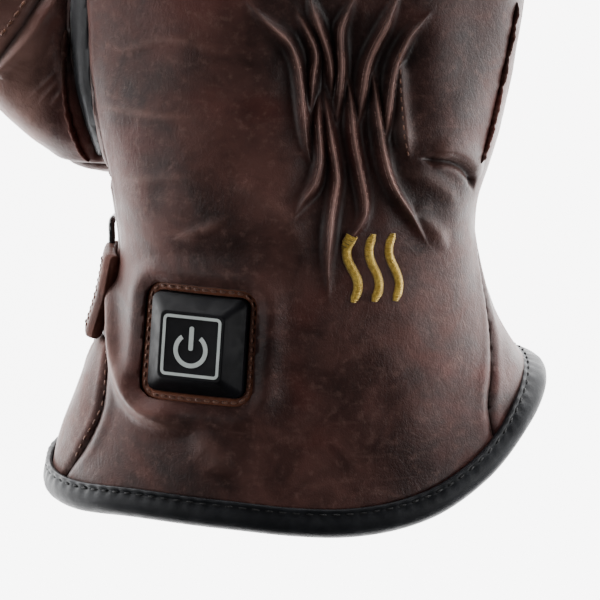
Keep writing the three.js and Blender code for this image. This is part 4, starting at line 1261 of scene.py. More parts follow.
    def cut_panels(self, surface: Surface, picture: PictureMap) -> None:
        """Cut the form along its seams, and label each panel."""
        rest, drop = 0, -1
        surface.cut(lambda p: -self.hem_measure(p), rest, drop)
        surface.cut(self.strip_measure(self.strip_line(picture)), rest, Panel.STRIP.label)
        pairs = zip(self.form.fingers, self.form.fingers[1:])
        strips = (Panel.FIRST_FOURCHETTE, Panel.SECOND_FOURCHETTE, Panel.THIRD_FOURCHETTE)
        for panel, (first, second) in zip(strips, pairs):
            surface.cut(self.fourchette_measure(first, second), rest, panel.label)
        surface.cut(self.gusset_measure, rest, Panel.GUSSET.label)
        surface.cut(self.thumb_measure, rest, Panel.THUMB_BASE.label)
        surface.cut(self.tube_measure, Panel.THUMB_BASE.label, Panel.THUMB_FRONT.label)
        surface.cut(self.back_measure, Panel.THUMB_FRONT.label, Panel.THUMB_BACK.label)
        surface.cut(self.back_measure, rest, Panel.BACK.label)
        surface.labels[surface.labels == rest] = Panel.PALM.label
        window = lambda p: -self.button.outside(self.form, p, self.button.ledge)
        surface.cut(window, Panel.BACK.label, drop)

    def refine(self, surface: Surface, lines: Sequence[Array]) -> Surface:
        """Give the surface finer triangles near the folds."""
        for reach in (5.0, 2.4):
            middle = surface.points[surface.faces].mean(axis=1)
            near = np.zeros(len(middle), bool)
            for line in lines:
                low, high = line.min(axis=0) - reach, line.max(axis=0) + reach
                box = np.nonzero(np.all((middle > low) & (middle < high), axis=1) & ~near)[0]
                near[box] = to_line(middle[box], line)[0] < reach
            surface = surface.refined(near)
        return surface

    def relief(
            self, points: Array, lines: Sequence[Array], picture: PictureMap) -> tuple[Array, Array, Array]:
        """How the folds and swellings raise the leather.

        Args:
            points: The points of the smooth form.
            lines: The folds' lines over it.
            picture: Finds a pixel's place.

        Returns:
            The rise in millimetres, how pale each point is from rubbing and painted highlight, and how much
            painted shade it takes.
        """
        ridges = np.zeros(len(points))
        creases = np.zeros(len(points))
        wear_and_highlight = np.zeros(len(points))
        shade = np.zeros(len(points))
        crest = np.zeros(len(points))
        gather = np.zeros(len(points))
        for fold, line in zip(self.folds, lines):
            reach = max(5 * fold.width, 7.5 * fold.sharp)
            low, high = line.min(axis=0) - reach, line.max(axis=0) + reach
            box = np.nonzero(np.all((points > low) & (points < high), axis=1))[0]
            far, share = to_line(points[box], line)
            fade = smoothstep(0, fold.ends, share + 0.03) * smoothstep(0, fold.ends, 1.03 - share)
            u = far / (fold.width * (0.45 + 0.55 * fade))
            sharp = np.exp(-(np.sqrt(u * u + 0.05) - 0.2236) * 1.15)
            shape = fold.sharp * sharp + (1 - fold.sharp) * np.exp(-u * u)
            shape = shape * (1 - smoothstep(3.5, 5, u))
            if fold.rise > 0:
                ridges[box] += (fold.rise * fade * shape) ** 3
                # pale along each ridge's crest: partly rubbing, partly painted highlight; a thin strong
                # painted highlight on the gather's pinched crests
                band = self.crest_line if fold.sharp == 1 else 0.7 * fold.width
                strong = self.crest_highlight if fold.sharp == 1 else 1.0
                wear_and_highlight[box] = np.maximum(wear_and_highlight[box], strong * fold.wear_and_highlight * fade * np.exp(-((far / band) ** 2)))
                if fold.sharp == 1:
                    crest[box] = np.maximum(crest[box], fade * np.exp(-((far / self.crest_width) ** 2)))
                    gather[box] = np.maximum(gather[box], fade * np.exp(-((far / self.valley_reach) ** 2)))
            else:
                creases[box] += fold.rise * fade * shape
                # painted shade along the crease
                shade[box] = np.maximum(shade[box], 0.8 * fade * np.exp(-((far / 0.9) ** 2)))
        # painted shade in the valleys between the gather's crests
        valley = gather * (1 - crest)
        shade = np.maximum(shade, self.valley_shade * valley)
        rise = np.cbrt(ridges) + creases - self.valley_depth * valley
        # paler upper side of the thumb: rubbing, and painted light where it faces the lamps
        thumb = (1 - smoothstep(-69, -61, points[:, 0])) * smoothstep(-4, 4, points[:, 1])
        thumb = thumb * (1 - 0.65 * smoothstep(32, 62, points[:, 1])) * smoothstep(4, 16, points[:, 2])
        wear_and_highlight = np.maximum(wear_and_highlight, thumb * (self.thumb_light_and_wear + 0.3 * soft_noise(points, 9, 11)))
        for swell in self.swells:
            at = picture.pick(swell.pixel)
            if at is not None:
                gap = (points[:, :2] - at[:2]) / np.array(swell.reach)
                above = points[:, 2] > at[2] - 22
                rise += swell.rise * np.exp(-(gap**2).sum(axis=1)) * above
        gap = self.button.outside(self.form, points, self.button.ledge)
        rise += self.window_puff * np.exp(-(((gap - 3.0) / 3.2) ** 2)) * (gap > -0.5)
        rise += 0.35 * soft_noise(points, 17, 3) + 0.16 * soft_noise(points, 7, 5)
        return rise, wear_and_highlight, shade

    def build(self) -> tuple[PictureMap, PictureMap]:
        """Make every panel.

        Returns:
            The smooth outside and the finished one, for what is set on them.
        """
        surface = self.merged()
        log.info("form: %d points", len(surface.points))
        self.soften(surface)
        picture = PictureMap(surface, self.form, self.view)
        self.cut_panels(surface, picture)
        lines = [picture.line(fold.line()) for fold in self.folds]
        surface = self.refine(surface, lines)
        surface = Surface(
            surface.points, surface.faces[surface.labels > 0], surface.labels[surface.labels > 0])
        base = surface.points.copy()
        rise, wear_and_highlight, shade = self.relief(base, lines, picture)
        tree = lookup_tree(base[surface.seams()])
        seam = np.array([tree.find(Vector(p))[2] for p in base])
        hem = self.hem_measure(base)
        near_seam = np.exp(-((seam / self.groove_width) ** 2))
        calm = smoothstep(5.5, 14, hem)
        flat = smoothstep(0.2, 3.0, base[:, 2])
        lip = self.lip * np.exp(-(((seam - 2.6) / 1.4) ** 2))
        rise = rise * calm * flat - self.groove * near_seam + lip * calm * flat
        surface.points = base + surface.normals() * rise[:, None]
        surface.points[:, 2] = np.maximum(surface.points[:, 2], 0.02)
        # painted shade along the seams' grooves
        shade = np.clip(np.maximum(shade, 0.75 * near_seam), 0, 1)
        normals = surface.normals()
        for panel in Panel:
            self.panel_piece(panel, surface, normals, wear_and_highlight, shade)
        return picture, PictureMap(surface, self.form, self.view)

    def panel_piece(self, panel: Panel, surface: Surface, normals: Array, wear_and_highlight: Array, shade: Array) -> None:
        """Make one panel as its own leather, with its thickness and what its finish reads."""
        points, faces, used = surface.part(panel.label)
        inner = points - normals[used] * self.leather
        count = len(points)
        directed = faces[:, [0, 1, 1, 2, 2, 0]].reshape(-1, 2)
        keys = directed[:, 0] * count + directed[:, 1]
        back = directed[:, 1] * count + directed[:, 0]
        rim = directed[~np.isin(keys, back)]
        wall = np.concatenate(
            [
                np.stack([rim[:, 1], rim[:, 0], rim[:, 0] + count], axis=1),
                np.stack([rim[:, 1], rim[:, 0] + count, rim[:, 1] + count], axis=1)])
        whole = np.concatenate([faces, faces[:, ::-1] + count, wall])
        piece = mesh_object(
            panel.value[1] + "_leather", self.form.to_model(np.concatenate([points, inner])), whole)
        for name, values in (("wear_and_highlight", wear_and_highlight[used]), ("shade", shade[used])):
            data = piece.data.attributes.new(name, "FLOAT", "POINT")
            data.data.foreach_set("value", np.concatenate([values, values]).astype(np.float32))
        settle(piece, panel.value[2], panel.value[1], padding=0.7)


# ------------------------ stitches and threads


@dataclass(frozen=True)
class Stitch:
    """One kind of stitch: its spacing, its length as a share of it, and its thread, in millimetres."""

    pitch: float = 2.2
    share: float = 0.74
    thread: float = 0.3
    sink: float = 0.12
    slant: float = 0.0
    pull: float = 0.35

    def shape(self) -> tuple[Array, list[list[int]]]:
        """One stitch lying along x on a flat surface, its ends turned down into it."""
        rings, sides = 7, 6
        t = np.linspace(-1, 1, rings)
        a = np.linspace(0, 2 * np.pi, sides, endpoint=False)
        thick = self.thread * np.sqrt(np.maximum(1 - np.abs(t) ** 5, 0.06))
        x = t * self.pitch * self.share / 2
        z = self.thread * 0.9 - self.sink - self.pull * np.abs(t) ** 3 * 1.2
        ring = np.stack(
            [
                np.repeat(x[:, None], sides, 1), thick[:, None] * np.cos(a),
                z[:, None] + thick[:, None] * np.sin(a)
            ], axis=2)
        points = np.concatenate([ring.reshape(-1, 3), [[x[0], 0, z[0]], [x[-1], 0, z[-1]]]])
        return points, tube_faces(rings, sides)

    def row(
            self, name: str, line: Array, seat: Callable[[Array], tuple[Array, Array]], form: GloveForm,
            closed: bool = False) -> Piece:
        """Sew a row of stitches.

        Args:
            name: The row's name.
            line: Its line, in millimetres.
            seat: Finds the place and the direction outwards on what it is sewn to.
            form: The glove's form, for the model's place.
            closed: Whether the line comes back to its start.

        Returns:
            All of its stitches as one piece.
        """
        if closed:
            line = np.concatenate([line, line[:1]])
        spots = resampled(line, self.pitch)
        shape, faces = self.shape()
        points, all_faces = [], []
        for k in range(len(spots) - 1):
            place, normal = seat((spots[k] + spots[k + 1]) / 2)
            ahead = spots[k + 1] - spots[k]
            ahead = unit(ahead - normal * (ahead @ normal))
            side = np.cross(normal, ahead)
            ahead, side = ahead + side * self.slant, side - ahead * self.slant
            points.append(place + shape @ np.stack([ahead, side, normal]))
            all_faces += [[i + k * len(shape) for i in face] for face in faces]
        return mesh_object(name, form.to_model(np.concatenate(points)), all_faces)


@dataclass(frozen=True)
class Seamwork:
    """A stitched line of the picture, with its thread."""

    name: str
    pixels: Line
    stitch: Stitch
    finish: Finish


@dataclass
class StitchLines:
    """The stitch lines along the panels' edges."""

    form: GloveForm
    outside: PictureMap
    lines: tuple[Seamwork, ...] = (
        Seamwork(
            "gather_edge_stitches", ((401, 51), (400, 76), (401, 98), (403, 118), (405, 141), (409, 158)),
            Stitch(2.4, 0.7, 0.22), Finish.STITCH),
        Seamwork(
            "thumb_cross_stitches", ((0, 37), (14, 18), (26, 0)), Stitch(2.9, 0.78, 0.45), Finish.STITCH),
        Seamwork(
            "gusset_seam_stitches",
            ((107, 350), (105, 372), (105, 388), (103, 405), (95, 421), (83, 440), (75, 458)),
            Stitch(2.6, 0.65, 0.22), Finish.STITCH),
    )

    def build(self) -> None:
        """Sew every line."""
        for work in self.lines:
            line = self.outside.line(work.pixels, 3)
            settle(work.stitch.row(work.name, line, self.outside.seat, self.form), work.finish)


@dataclass
class RawEdges:
    """The cut edges of the leather that stand up along two seams. Lengths are in millimetres."""

    form: GloveForm
    outside: PictureMap
    half_wide: float = 0.75
    half_high: float = 0.8
    sides: int = 8
    lines: tuple[tuple[str, Line], ...] = (
        ("outer_seam_edge", ((517, 2), (512, 32), (505, 66), (498, 98), (491, 128), (485, 150), (481, 163))),
        (
            "thumb_seam_edge",
            ((66, 30), (64, 52), (64, 76), (65, 98), (69, 119), (75, 138), (82, 153), (89, 161))),
    )

    def piece(self, name: str, pixels: Sequence[Pixel]) -> None:
        """Make one edge as a rough low bead along its seam."""
        line = resampled(self.outside.line(pixels, 3), 0.45)
        seats = [self.outside.seat(point) for point in line]
        place = np.array([seat[0] for seat in seats])
        out = unit(np.array([seat[1] for seat in seats]))
        ahead = unit(np.gradient(place, axis=0))
        across = unit(np.cross(ahead, out))
        turns = np.linspace(0, 2 * np.pi, self.sides, endpoint=False)
        ragged = 1 + 0.3 * soft_noise(place, 1.3, 21) + 0.2 * soft_noise(place, 0.6, 23)
        taper = np.minimum(1, np.minimum(np.arange(len(place)), np.arange(len(place))[::-1]) / 5 + 0.25)
        size = (ragged * taper)[:, None, None]
        ring = np.cos(turns)[None, :, None] * across[:, None] * self.half_wide
        ring = ring + (np.sin(turns)[None, :, None] + 0.35) * out[:, None] * self.half_high
        points = np.concatenate([(place[:, None] + ring * size).reshape(-1, 3), place[[0, -1]]])
        piece = mesh_object(name, self.form.to_model(points), tube_faces(len(place), self.sides))
        face_outwards(piece)
        settle(piece, Finish.CUT_EDGE)

    def build(self) -> None:
        """Make both edges."""
        for name, pixels in self.lines:
            self.piece(name, pixels)


# ------------------------ the cuff's binding


@dataclass
class CuffBinding:
    """The leather binding that wraps the hem, with its folded lip and its stitches. In millimetres."""

    form: GloveForm
    depth: float = 5.4
    grip: float = 3.0
    leather: float = 1.1
    nose: float = 2.2
    steps: int = 420
    pitch: float = 3.4
    seam_depth: float = 4.05
    pucker: float = 0.16
    ripple: float = 0.14

    def frames(self) -> tuple[Array, Array, Array]:
        """The hem's middle line, and the directions outwards and onwards along it."""
        degrees = np.linspace(0, 360, self.steps, endpoint=False)
        outer = self.form.hand_points(degrees, -1.0)
        inner = self.form.hand_points(degrees, -1.0, self.form.wall)
        onward = unit(outer - self.form.hand_points(degrees, -0.94))
        out = outer - inner
        out = unit(out - onward * (out * onward).sum(axis=1, keepdims=True))
        middle = (outer + inner) / 2
        for _ in range(6):
            out, onward = (
                unit(v + 0.5 * (np.roll(v, 1, axis=0) + np.roll(v, -1, axis=0))) for v in (out, onward))
        return middle, out, onward

    def profile(self) -> Array:
        """The section: how far outwards and onwards each point lies, from the outer lip to the inner one."""
        g, d = self.grip, self.depth
        outer = [
            (g - 0.15, -d), (g + 0.2, -d + 0.08), (g + 0.38, -d + 0.45), (g + 0.25, -self.seam_depth - 0.45),
            (g - 0.08, -self.seam_depth), (g + 0.12, -self.seam_depth + 0.5), (g + 0.3, -2.6),
            (g + 0.34, -1.5),
            (g + 0.22, -0.4), (g - 0.25, 0.75), (g - 1.1, 1.6), (g - 2.1, 2.1), (0, self.nose),
        ]
        inner = [(-n, o) for n, o in outer[-2::-1]]
        t = self.leather
        back = [
            (-g + t, -d + 0.1), (-g + t, -0.4), (-g + t + 0.8, 0.35), (0, 0.6), (g - t - 0.8, 0.35),
            (g - t, -0.4), (g - t, -d + 0.1)]
        return np.array(outer + inner + back)

    def build(self) -> None:
        """Make the binding and its two rows of stitches."""
        middle, out, onward = self.frames()
        shape = self.profile()
        steps = np.linalg.norm(np.roll(middle, -1, axis=0) - middle, axis=1)
        along = np.concatenate([[0], np.cumsum(steps)[:-1]])
        turns = round(steps.sum() / self.pitch)
        phase = along / steps.sum() * turns * 2 * np.pi
        near = np.exp(
            -(((np.abs(shape[:, 1] + self.seam_depth)) / 1.3) ** 2)
        ) * (np.abs(shape[:, 0]) > self.grip - 0.5)
        puff = self.pucker * -np.cos(phase)[:, None] * near[None, :] * np.sign(shape[:, 0])[None, :]
        noise_at = middle[:, None] + out[:, None] * shape[None, :, :1] + onward[:, None] * shape[None, :, 1:]
        ripple = self.ripple * soft_noise(noise_at.reshape(-1, 3), 6, 11).reshape(puff.shape)
        ripple = ripple * (np.abs(shape[:, 0]) > 1)[None, :]
        points = noise_at + out[:, None] * (puff + ripple * np.sign(shape[:, 0])[None, :])[..., None]
        points[..., 2] = np.maximum(points[..., 2], 0.02)
        rings, sides = points.shape[:2]
        faces = loop_faces(rings, sides)
        piece = mesh_object(
            "cuff_binding_leather", self.form.to_model(points.reshape(-1, 3)), [f[::-1] for f in faces])
        face_outwards(piece)
        settle(piece, Finish.BINDING, "cuff_binding", padding=0.8)
        stitch = Stitch(self.pitch, 0.7, 0.3, 0.1, pull=0.5)
        for name, side in (("hem_stitches_outer", 1), ("hem_stitches_inner", -1)):
            line = middle + out * (side * (self.grip - 0.02)) + onward * -self.seam_depth
            lookup = lookup_tree(line)

            def seat(point: Array, lookup: kdtree.KDTree = lookup, side: int = side) -> tuple[Array, Array]:
                k = lookup.find(Vector(point))[1]
                return point, out[k] * side

            settle(stitch.row(name, line, seat, self.form, closed=True), Finish.BLACK_STITCH)


# ------------------------ the power button


@dataclass
class PowerButton:
    """The square bevelled moulding with its printed sign, in its leather window. In millimetres."""

    form: GloveForm
    place: ButtonPlace
    base: PictureMap
    rim: float = 0.7
    rise: float = 4.4
    bevel: float = 4.1
    bulge: float = 0.006
    top_rim: float = 0.6
    dish: float = 0.08
    edge: float = 0.28
    seat: float = 2.0
    square: float = 15.3
    square_line: float = 0.75
    square_corner: float = 1.3
    sign_radius: float = 4.5
    sign_line: float = 1.15
    sign_drop: float = 0.9
    sign_gap: float = 37.0
    sign_bar: tuple[float, float] = (1.2, 6.05)
    bar_up: float = 2.0
    bar_corner: float = 0.5
    print_depth: float = 0.08

    def begin(self, size: float, low: float) -> Piece:
        """Add a square plate in edit mode, and leave all of it selected."""
        bpy.ops.object.select_all(action="DESELECT")
        bpy.ops.mesh.primitive_plane_add(size=size * 0.001, location=(0, 0, low * 0.001))
        bpy.ops.object.transform_apply(location=True)
        bpy.ops.object.mode_set(mode="EDIT")
        select_whole()
        return bpy.context.object

    def set_down(self, piece: Piece, name: str) -> Piece:
        """Place a finished shape on the cuff, with its place in its mesh."""
        bpy.ops.object.mode_set(mode="OBJECT")
        axes = self.place.axes(self.form)
        axes.translation = Vector(self.form.to_model(np.array(axes.translation)))
        piece.name = piece.data.name = name
        piece.matrix_world = axes
        make_active(piece)
        bpy.ops.object.transform_apply(location=True, rotation=True, scale=True)
        return piece

    def scale(self, x: float, y: float) -> None:
        """Scale what is selected in plan, about the plate's middle."""
        bpy.ops.transform.resize(value=(x, y, 1), center_override=(0, 0, 0))

    def raise_by(self, height: float) -> None:
        """Extrude what is selected upwards."""
        bpy.ops.mesh.extrude_region_move(TRANSFORM_OT_translate={"value": (0, 0, height * 0.001)})

    def housing(self) -> None:
        """Make the moulding: a skirt, four sloping sides and a slightly dished top."""
        side = self.place.side
        piece = self.begin(side, -self.seat)
        bpy.ops.mesh.bevel(offset=self.place.corner * 0.001, segments=5, affect="VERTICES")
        select_whole()
        self.raise_by(self.seat + self.rim * 0.7)
        self.raise_by(self.rim * 0.3)
        self.scale(1 - 0.5 / side, 1 - 0.5 / side)
        top = (side - 2 * self.bevel) / (side - 0.5)
        self.raise_by(self.rise * 0.5)
        middle = (1 + top) / 2 + self.bulge
        self.scale(middle, middle)
        self.raise_by(self.rise * 0.5)
        self.scale(top / middle, top / middle)
        bpy.ops.mesh.inset(thickness=self.top_rim * 0.001)
        bpy.ops.transform.translate(value=(0, 0, -self.dish * 0.001))
        piece = self.set_down(piece, "power_button")
        apply_modifier(
            piece, "BEVEL", width=self.edge * 0.001, segments=3, limit_method="ANGLE",
            angle_limit=math.radians(25))
        bpy.ops.object.shade_smooth_by_angle(angle=math.radians(30))
        settle(piece, Finish.PLASTIC, "button_housing")

    def printed_square(self, top: float) -> None:
        """Print the rounded square outline."""
        piece = self.begin(self.square, top)
        bpy.ops.mesh.bevel(offset=self.square_corner * 0.001, segments=6, affect="VERTICES")
        select_whole()
        bpy.ops.mesh.inset(thickness=self.square_line * 0.001)
        bpy.ops.mesh.delete(type="FACE")
        select_whole()
        self.raise_by(self.print_depth)
        settle(self.set_down(piece, "sign_square"), Finish.SYMBOL)

    def printed_ring(self, top: float) -> None:
        """Print the open ring of the power sign, spun from its section."""
        piece = self.begin(1.0, 0.0)
        self.scale(self.sign_line, self.print_depth)
        bpy.ops.transform.rotate(value=math.radians(90), orient_axis="X", center_override=(0, 0, 0))
        start = math.radians(self.sign_gap - 90)
        middle = (0, -self.sign_drop * 0.001, top * 0.001)
        radius = (self.sign_radius - self.sign_line / 2) * 0.001
        bpy.ops.transform.translate(value=(radius, middle[1], middle[2] + self.print_depth * 0.0005))
        bpy.ops.transform.rotate(value=start, orient_axis="Z", center_override=middle)
        turn = math.radians(360 - 2 * self.sign_gap)
        bpy.ops.mesh.spin(steps=48, angle=turn, center=middle, axis=(0, 0, 1))
        select_whole()
        bpy.ops.mesh.normals_make_consistent(inside=False)
        settle(self.set_down(piece, "sign_ring"), Finish.SYMBOL)

    def printed_bar(self, top: float) -> None:
        """Print the bar of the power sign."""
        piece = self.begin(1.0, top)
        self.scale(*self.sign_bar)
        bpy.ops.transform.translate(value=(0, self.bar_up * 0.001, 0))
        bpy.ops.mesh.bevel(offset=self.bar_corner * 0.001, segments=4, affect="VERTICES")
        select_whole()
        self.raise_by(self.print_depth)
        settle(self.set_down(piece, "sign_bar"), Finish.SYMBOL)

    def square_line_at(self, grow: float, count: int) -> Array:
        """Points round the button's rounded square, grown by a margin, on the cuff's smooth outside."""
        half, corner = self.place.side / 2 + grow, self.place.corner + grow
        flat = rounded_box(half, half, corner, 7, 8 * half / count)
        axes = self.place.axes(self.form)
        found = []
        for x, y in flat:
            high = Vector(self.form.to_model(np.array(axes @ Vector((x, y, 15)))))
            down = -(axes.to_3x3() @ Vector((0, 0, 1)))
            hit = self.base.tree.ray_cast(high, down)[0]
            found.append(self.form.to_wrist(np.array(hit)))
        return np.array(found)

    def window(self) -> None:
        """Make the window's ledge of paler leather, and its row of stitches."""
        up = np.array(self.place.axes(self.form).to_3x3() @ Vector((0, 0, 1)))
        section = (
            (0.22, -1.3), (0.22, -0.5), (0.4, -0.12), (0.9, 0.02), (1.5, -0.02), (2.1, 0.0), (2.5, -0.25),
            (2.5, -1.3))
        count = 160
        rings = [self.square_line_at(grow, count) + up * rise for grow, rise in section]
        fewest = min(len(r) for r in rings)
        rings = [r[np.linspace(0, len(r) - 1, fewest).round().astype(int)] for r in rings]
        points = np.stack(rings, axis=1)
        sides = len(section)
        faces = loop_faces(fewest, sides)
        piece = mesh_object("button_window_ledge", self.form.to_model(points.reshape(-1, 3)), faces)
        face_outwards(piece)
        settle(piece, Finish.WINDOW, "button_frame", padding=0.9)
        line = self.square_line_at(1.35, 200)
        stitch = Stitch(2.3, 0.74, 0.34, 0.06)
        settle(stitch.row("window_stitches", line, lambda p: (p, up), self.form, closed=True), Finish.STITCH)

    def build(self) -> None:
        """Make the button, its printed sign and its window."""
        self.housing()
        top = self.rim + self.rise - 0.02
        self.printed_square(top)
        self.printed_ring(top)
        self.printed_bar(top)
        self.window()


# ------------------------ the embroidered mark


@dataclass
class HeatMark:
    """Three wavy strokes of satin stitch beside the button. In millimetres."""

    form: GloveForm
    outside: PictureMap
    x: float = 18.1
    y: float = -5.4
    width: float = 13.0
    height: float = 17.0
    stroke: float = 2.2
    thread: float = 0.24
    spacing: float = 0.36
    crown: float = 0.75
    uneven: float = 0.06
    above: float = 62.0
    slant: float = 0.35

    def stroke_piece(self, number: int) -> None:
        """Embroider one stroke, thread by thread."""
        middle = self.x + (number - 1) * (self.width - self.stroke) / 2
        t = np.linspace(0, 1, round(self.height / self.spacing))
        sway = np.sin(2 * np.pi * t) * self.width * 0.1
        line = np.stack([middle + sway, self.y + (t - 0.5) * self.height], axis=1)
        tangent = unit(np.gradient(line, axis=0))
        across = np.stack([tangent[:, 1], -tangent[:, 0]], axis=1)
        across = unit(across + tangent * self.slant)
        rings, sides = 7, 6
        reach = np.linspace(-1, 1, rings)
        points, faces = [], []
        for k in range(len(t)):
            wide = self.stroke / 2 * min(1, 0.55 + 6 * min(t[k], 1 - t[k]))
            lift = self.uneven * math.sin(k * 2.4)
            path = []
            for r in reach:
                flat = line[k] + across[k] * r * wide
                place, normal = self.outside.seat(np.array([flat[0], flat[1], self.above]))
                path.append(place + normal * ((1 - r * r) ** 0.7 * (self.crown + lift) - 0.12))
            path = np.array(path)
            ahead = unit(np.gradient(path, axis=0))
            side = unit(np.cross(ahead, normal))
            up = np.cross(side, ahead)
            ring = round_rings(path, side, up, self.thread, sides)
            first = k * (rings * sides + 2)
            points += [ring.reshape(-1, 3), path[:1], path[-1:]]
            faces += tube_faces(rings, sides, first)
        piece = mesh_object(
            f"heat_stroke_{number + 1}", self.form.to_model(np.concatenate(points)), [f[::-1] for f in faces])
        settle(piece, Finish.THREAD, f"heat_mark_{number + 1}")

    def build(self) -> None:
        """Embroider the three strokes."""
        for number in range(3):
            self.stroke_piece(number)


# ------------------------ the wrist strap


@dataclass
class WristStrap:
    """The strap round the palm's side, its wire ring and the tab that holds the ring. In millimetres."""

    form: GloveForm
    y: float = -18.8
    width: float = 21.5
    thickness: float = 2.2
    fold: float = 3.9
    fold_length: float = 9.0
    end_angle: float = 315.0
    gap: float = 0.3
    ring_length: float = 31.0
    ring_across: float = 13.0
    wire: float = 1.8
    bend: float = 2.0
    ripple: float = 0.1
    ring_shift: float = 1.6
    ring_angle: float = 197.0
    margin: float = 1.6
    # how far the stitch rows of the tab and of the strap lie from the ring's bars
    tab_rows: tuple[float, ...] = (3.4, 5.6)
    strap_rows: tuple[float, ...] = (3.4, 5.2)

    def turn(self, length: float) -> float:
        """The angle that a length over the wrist's rounded side takes."""
        return math.degrees(length / float(self.form.section(self.y / self.form.cuff_length)[3]))

    def over(self, degrees: Array, y: Array, height: Array) -> Array:
        """Points at a height over the leather, from their angle and their place along the cuff."""
        return self.form.hand_points(degrees, np.asarray(y) / self.form.cuff_length, -np.asarray(height))

    def seat(self, point: Array) -> tuple[Array, Array]:
        """The place and the direction outwards for a stitch on the strap."""
        x, z, _, _ = self.form.section(np.array(point[1] / self.form.cuff_length))
        return point, unit(np.array([point[0] - float(x), 0, point[2] - float(z)]))

    def wrapped(self, name: str, degrees: Array, high: Array, node: str) -> None:
        """Wrap a band of leather over the wrist, as high at each angle as given, with rounded edges."""
        a = np.linspace(0, 2 * np.pi, 28, endpoint=False)
        c, n = np.sign(np.cos(a)) * np.abs(np.cos(a)) ** 0.22, np.sign(np.sin(a)) * np.abs(np.sin(a)) ** 0.55
        narrow = 1 - 0.012 * (1 - np.sin(np.pi * np.linspace(0, 1, len(degrees)))) ** 6
        y = self.y + c[None, :] * self.width / 2 * narrow[:, None]
        height = self.gap + (1 + n[None, :]) / 2 * high[:, None]
        points = self.over(degrees[:, None] + 0 * y, y, height)
        ripple = self.ripple * soft_noise(points.reshape(-1, 3), 9, 21).reshape(points.shape[:2])
        points = points + ripple[..., None] * (n > 0)[None, :, None]
        rings, sides = points.shape[:2]
        both = np.concatenate([points.reshape(-1, 3), [points[0].mean(axis=0)], [points[-1].mean(axis=0)]])
        piece = mesh_object(name, self.form.to_model(both), tube_faces(rings, sides))
        face_outwards(piece)
        settle(piece, Finish.STRAP, node, padding=0.8)

    def height_at(self, degrees: Array, bar: float, side: int) -> Array:
        """How high the band stands: full at the fold round the ring's bar, rounded off past it."""
        past = side * (degrees - bar)
        nose = self.turn(self.fold / 2)
        rounding = np.sqrt(np.clip(1 - np.clip(-past / nose, 0, 1) ** 2, 0.02, 1))
        slope = smoothstep(self.turn(self.fold_length) * 0.75, self.turn(self.fold_length) * 1.1, past)
        return rounding * (self.fold - (self.fold - self.thickness) * slope)

    def ring(self) -> None:
        """Bend the wire ring."""
        across, long = (self.ring_across - self.wire) / 2, (self.ring_length - self.wire) / 2
        flat = rounded_box(across, long, self.bend, 8, 0.8)
        middle_height = self.gap + self.fold / 2
        degrees = self.ring_angle + np.array([self.turn(u) for u in flat[:, 0]])
        y = self.y + self.ring_shift + flat[:, 1]
        middle = self.over(degrees, y, np.full(len(flat), middle_height))
        up = unit(self.over(degrees, y, np.full(len(flat), middle_height + 1)) - middle)
        ahead = unit(np.roll(middle, -1, axis=0) - np.roll(middle, 1, axis=0))
        side = unit(np.cross(ahead, up))
        rings = round_rings(middle, side, up, self.wire / 2, 12)
        count, sides = rings.shape[:2]
        faces = loop_faces(count, sides)
        piece = mesh_object("strap_wire_ring", self.form.to_model(rings.reshape(-1, 3)), faces)
        face_outwards(piece)
        settle(piece, Finish.RING, "strap_ring")

    def stitches(self, name: str, degrees: Array, y: Array, height: Array) -> None:
        """Sew a row on the band."""
        line = self.over(degrees, y, height)
        settle(Stitch(2.0, 0.72, 0.22, 0.1).row(name, line, self.seat, self.form), Finish.STITCH)

    def build(self) -> None:
        """Make the strap, the tab, the ring and their stitches."""
        bar = self.turn((self.ring_across - self.wire) / 2)
        near, far = self.ring_angle - bar, self.ring_angle + bar
        nose, reach = self.turn(self.fold / 2), self.turn(self.fold_length)
        degrees = np.linspace(far - nose, self.end_angle, 150)
        self.wrapped("wrist_strap_leather", degrees, self.height_at(degrees, far, 1), "wrist_strap")
        degrees = np.linspace(near - reach, near + nose, 30)
        high = self.height_at(degrees[::-1] * -1, -near, 1)[::-1]
        self.wrapped("ring_tab_leather", degrees, np.minimum(high, self.fold), "ring_tab")
        self.ring()
        half = self.width / 2 - self.margin
        y = np.linspace(self.y - half, self.y + half, 30)
        angles = [near - self.turn(way) for way in self.tab_rows]
        angles += [far + self.turn(way) for way in self.strap_rows]
        for number, angle in enumerate(angles):
            high = np.full(len(y), self.gap + self.fold)
            self.stitches(f"strap_stitches_{number + 1}", np.full(len(y), angle), y, high)


# ------------------------ the lining


@dataclass
class Lining:
    """The black fleece lining, seen through the cuff's opening. In millimetres."""

    form: GloveForm
    outer: float = 2.1
    inner: float = 3.0
    deeper: float = 3.2
    fleece: float = 0.35

    def build(self) -> None:
        """Make the lining as a closed sleeve from the hem to the knuckles."""
        degrees = np.arange(0, 360, 3.0)
        along = np.linspace(-0.99, 0.98, 110)
        deeper = self.deeper * smoothstep(-0.92, -0.5, along)[:, None]
        outside = self.form.hand_points(degrees[None, :], along[:, None], self.outer + deeper)
        inside = self.form.hand_points(degrees[None, :], along[:, None], self.inner + deeper)
        rough = self.fleece * soft_noise(inside.reshape(-1, 3), 2.2, 31).reshape(inside.shape[:2])
        inside = inside + unit(inside - inside.mean(axis=1, keepdims=True)) * rough[..., None]
        rings = np.concatenate([outside[::-1], inside])
        count, sides = rings.shape[:2]
        first_middle, last_middle = rings[0].mean(axis=0), rings[-1].mean(axis=0) - [0, 0.8, 0]
        both = np.concatenate([rings.reshape(-1, 3), [first_middle], [last_middle]])
        piece = mesh_object("fleece_lining", self.form.to_model(both), tube_faces(count, sides))
        face_outwards(piece)
        settle(piece, Finish.LINING, padding=0.6)


# ------------------------ the studio


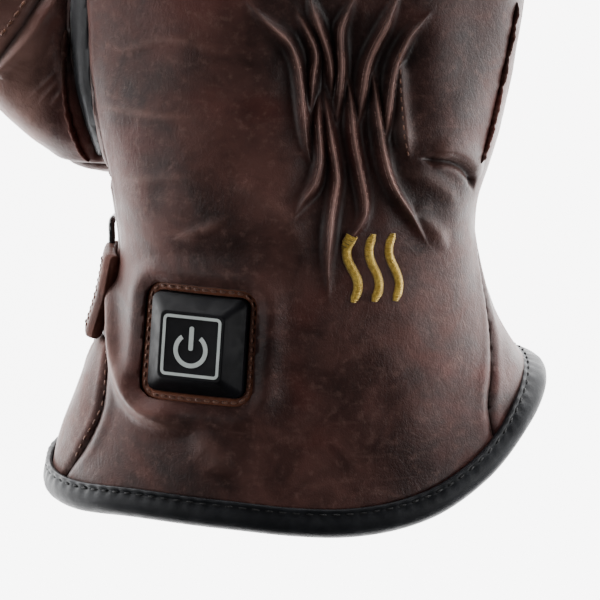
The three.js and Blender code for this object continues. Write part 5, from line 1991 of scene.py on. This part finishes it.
@dataclass
class Studio:
    """A plain pale floor and soft light from both sides. Lengths are in metres."""

    view: Viewpoint
    floor_half: float = 2.5
    glow: float = 7.5
    haze: float = 0.04
    aim: tuple[float, float, float] = (0.0, -0.07, 0.04)

    def floor(self) -> None:
        """Lay the floor."""
        bpy.ops.object.select_all(action="DESELECT")
        bpy.ops.mesh.primitive_plane_add(size=2 * self.floor_half, location=(0, 0, -0.0005))
        floor = bpy.context.object
        floor.name = "floor"
        board = NodeBoard("pale floor")
        board.set(Base_Color=colour(0.93, 0.93, 0.93), Roughness=0.6)
        board.set(Emission_Color=colour(1, 1, 1), Emission_Strength=self.glow)
        floor.data.materials.append(board.material)

    def light(
            self, name: str, place: tuple[float, float, float], size: tuple[float, float], power: float
    ) -> None:
        """Hang one soft light that faces the glove."""
        data = bpy.data.lights.new(name, "AREA")
        data.shape, data.size, data.size_y, data.energy = "RECTANGLE", size[0], size[1], power
        lamp = bpy.data.objects.new(name, data)
        bpy.context.collection.objects.link(lamp)
        lamp.location = place
        aim = Vector(self.aim) - Vector(place)
        lamp.rotation_euler = aim.to_track_quat("-Z", "Y").to_euler()

    def build(self) -> None:
        """Set up the camera, the floor and the lights."""
        self.view.build()
        self.floor()
        self.light("left light", (-1.0, 0.1, 0.6), (0.5, 1.2), 5.5)
        self.light("right light", (1.05, 0.0, 0.5), (0.34, 1.2), 9.0)
        world = bpy.data.worlds.new("studio")
        bpy.context.scene.world = world
        world.use_nodes = True
        world.node_tree.nodes["Background"].inputs["Color"].default_value = colour(1, 1, 1)
        world.node_tree.nodes["Background"].inputs["Strength"].default_value = self.haze


def main() -> None:
    """Build the glove's pieces in order."""
    logging.basicConfig(level=logging.INFO, format="%(message)s")
    form, view, button = GloveForm(), Viewpoint(), ButtonPlace()
    Studio(view).build()
    base, outside = LeatherShell(form, view, button).build()
    Lining(form).build()
    CuffBinding(form).build()
    PowerButton(form, button, base).build()
    HeatMark(form, outside).build()
    WristStrap(form).build()
    RawEdges(form, outside).build()
    StitchLines(form, outside).build()


if __name__ == "__main__":
    main()
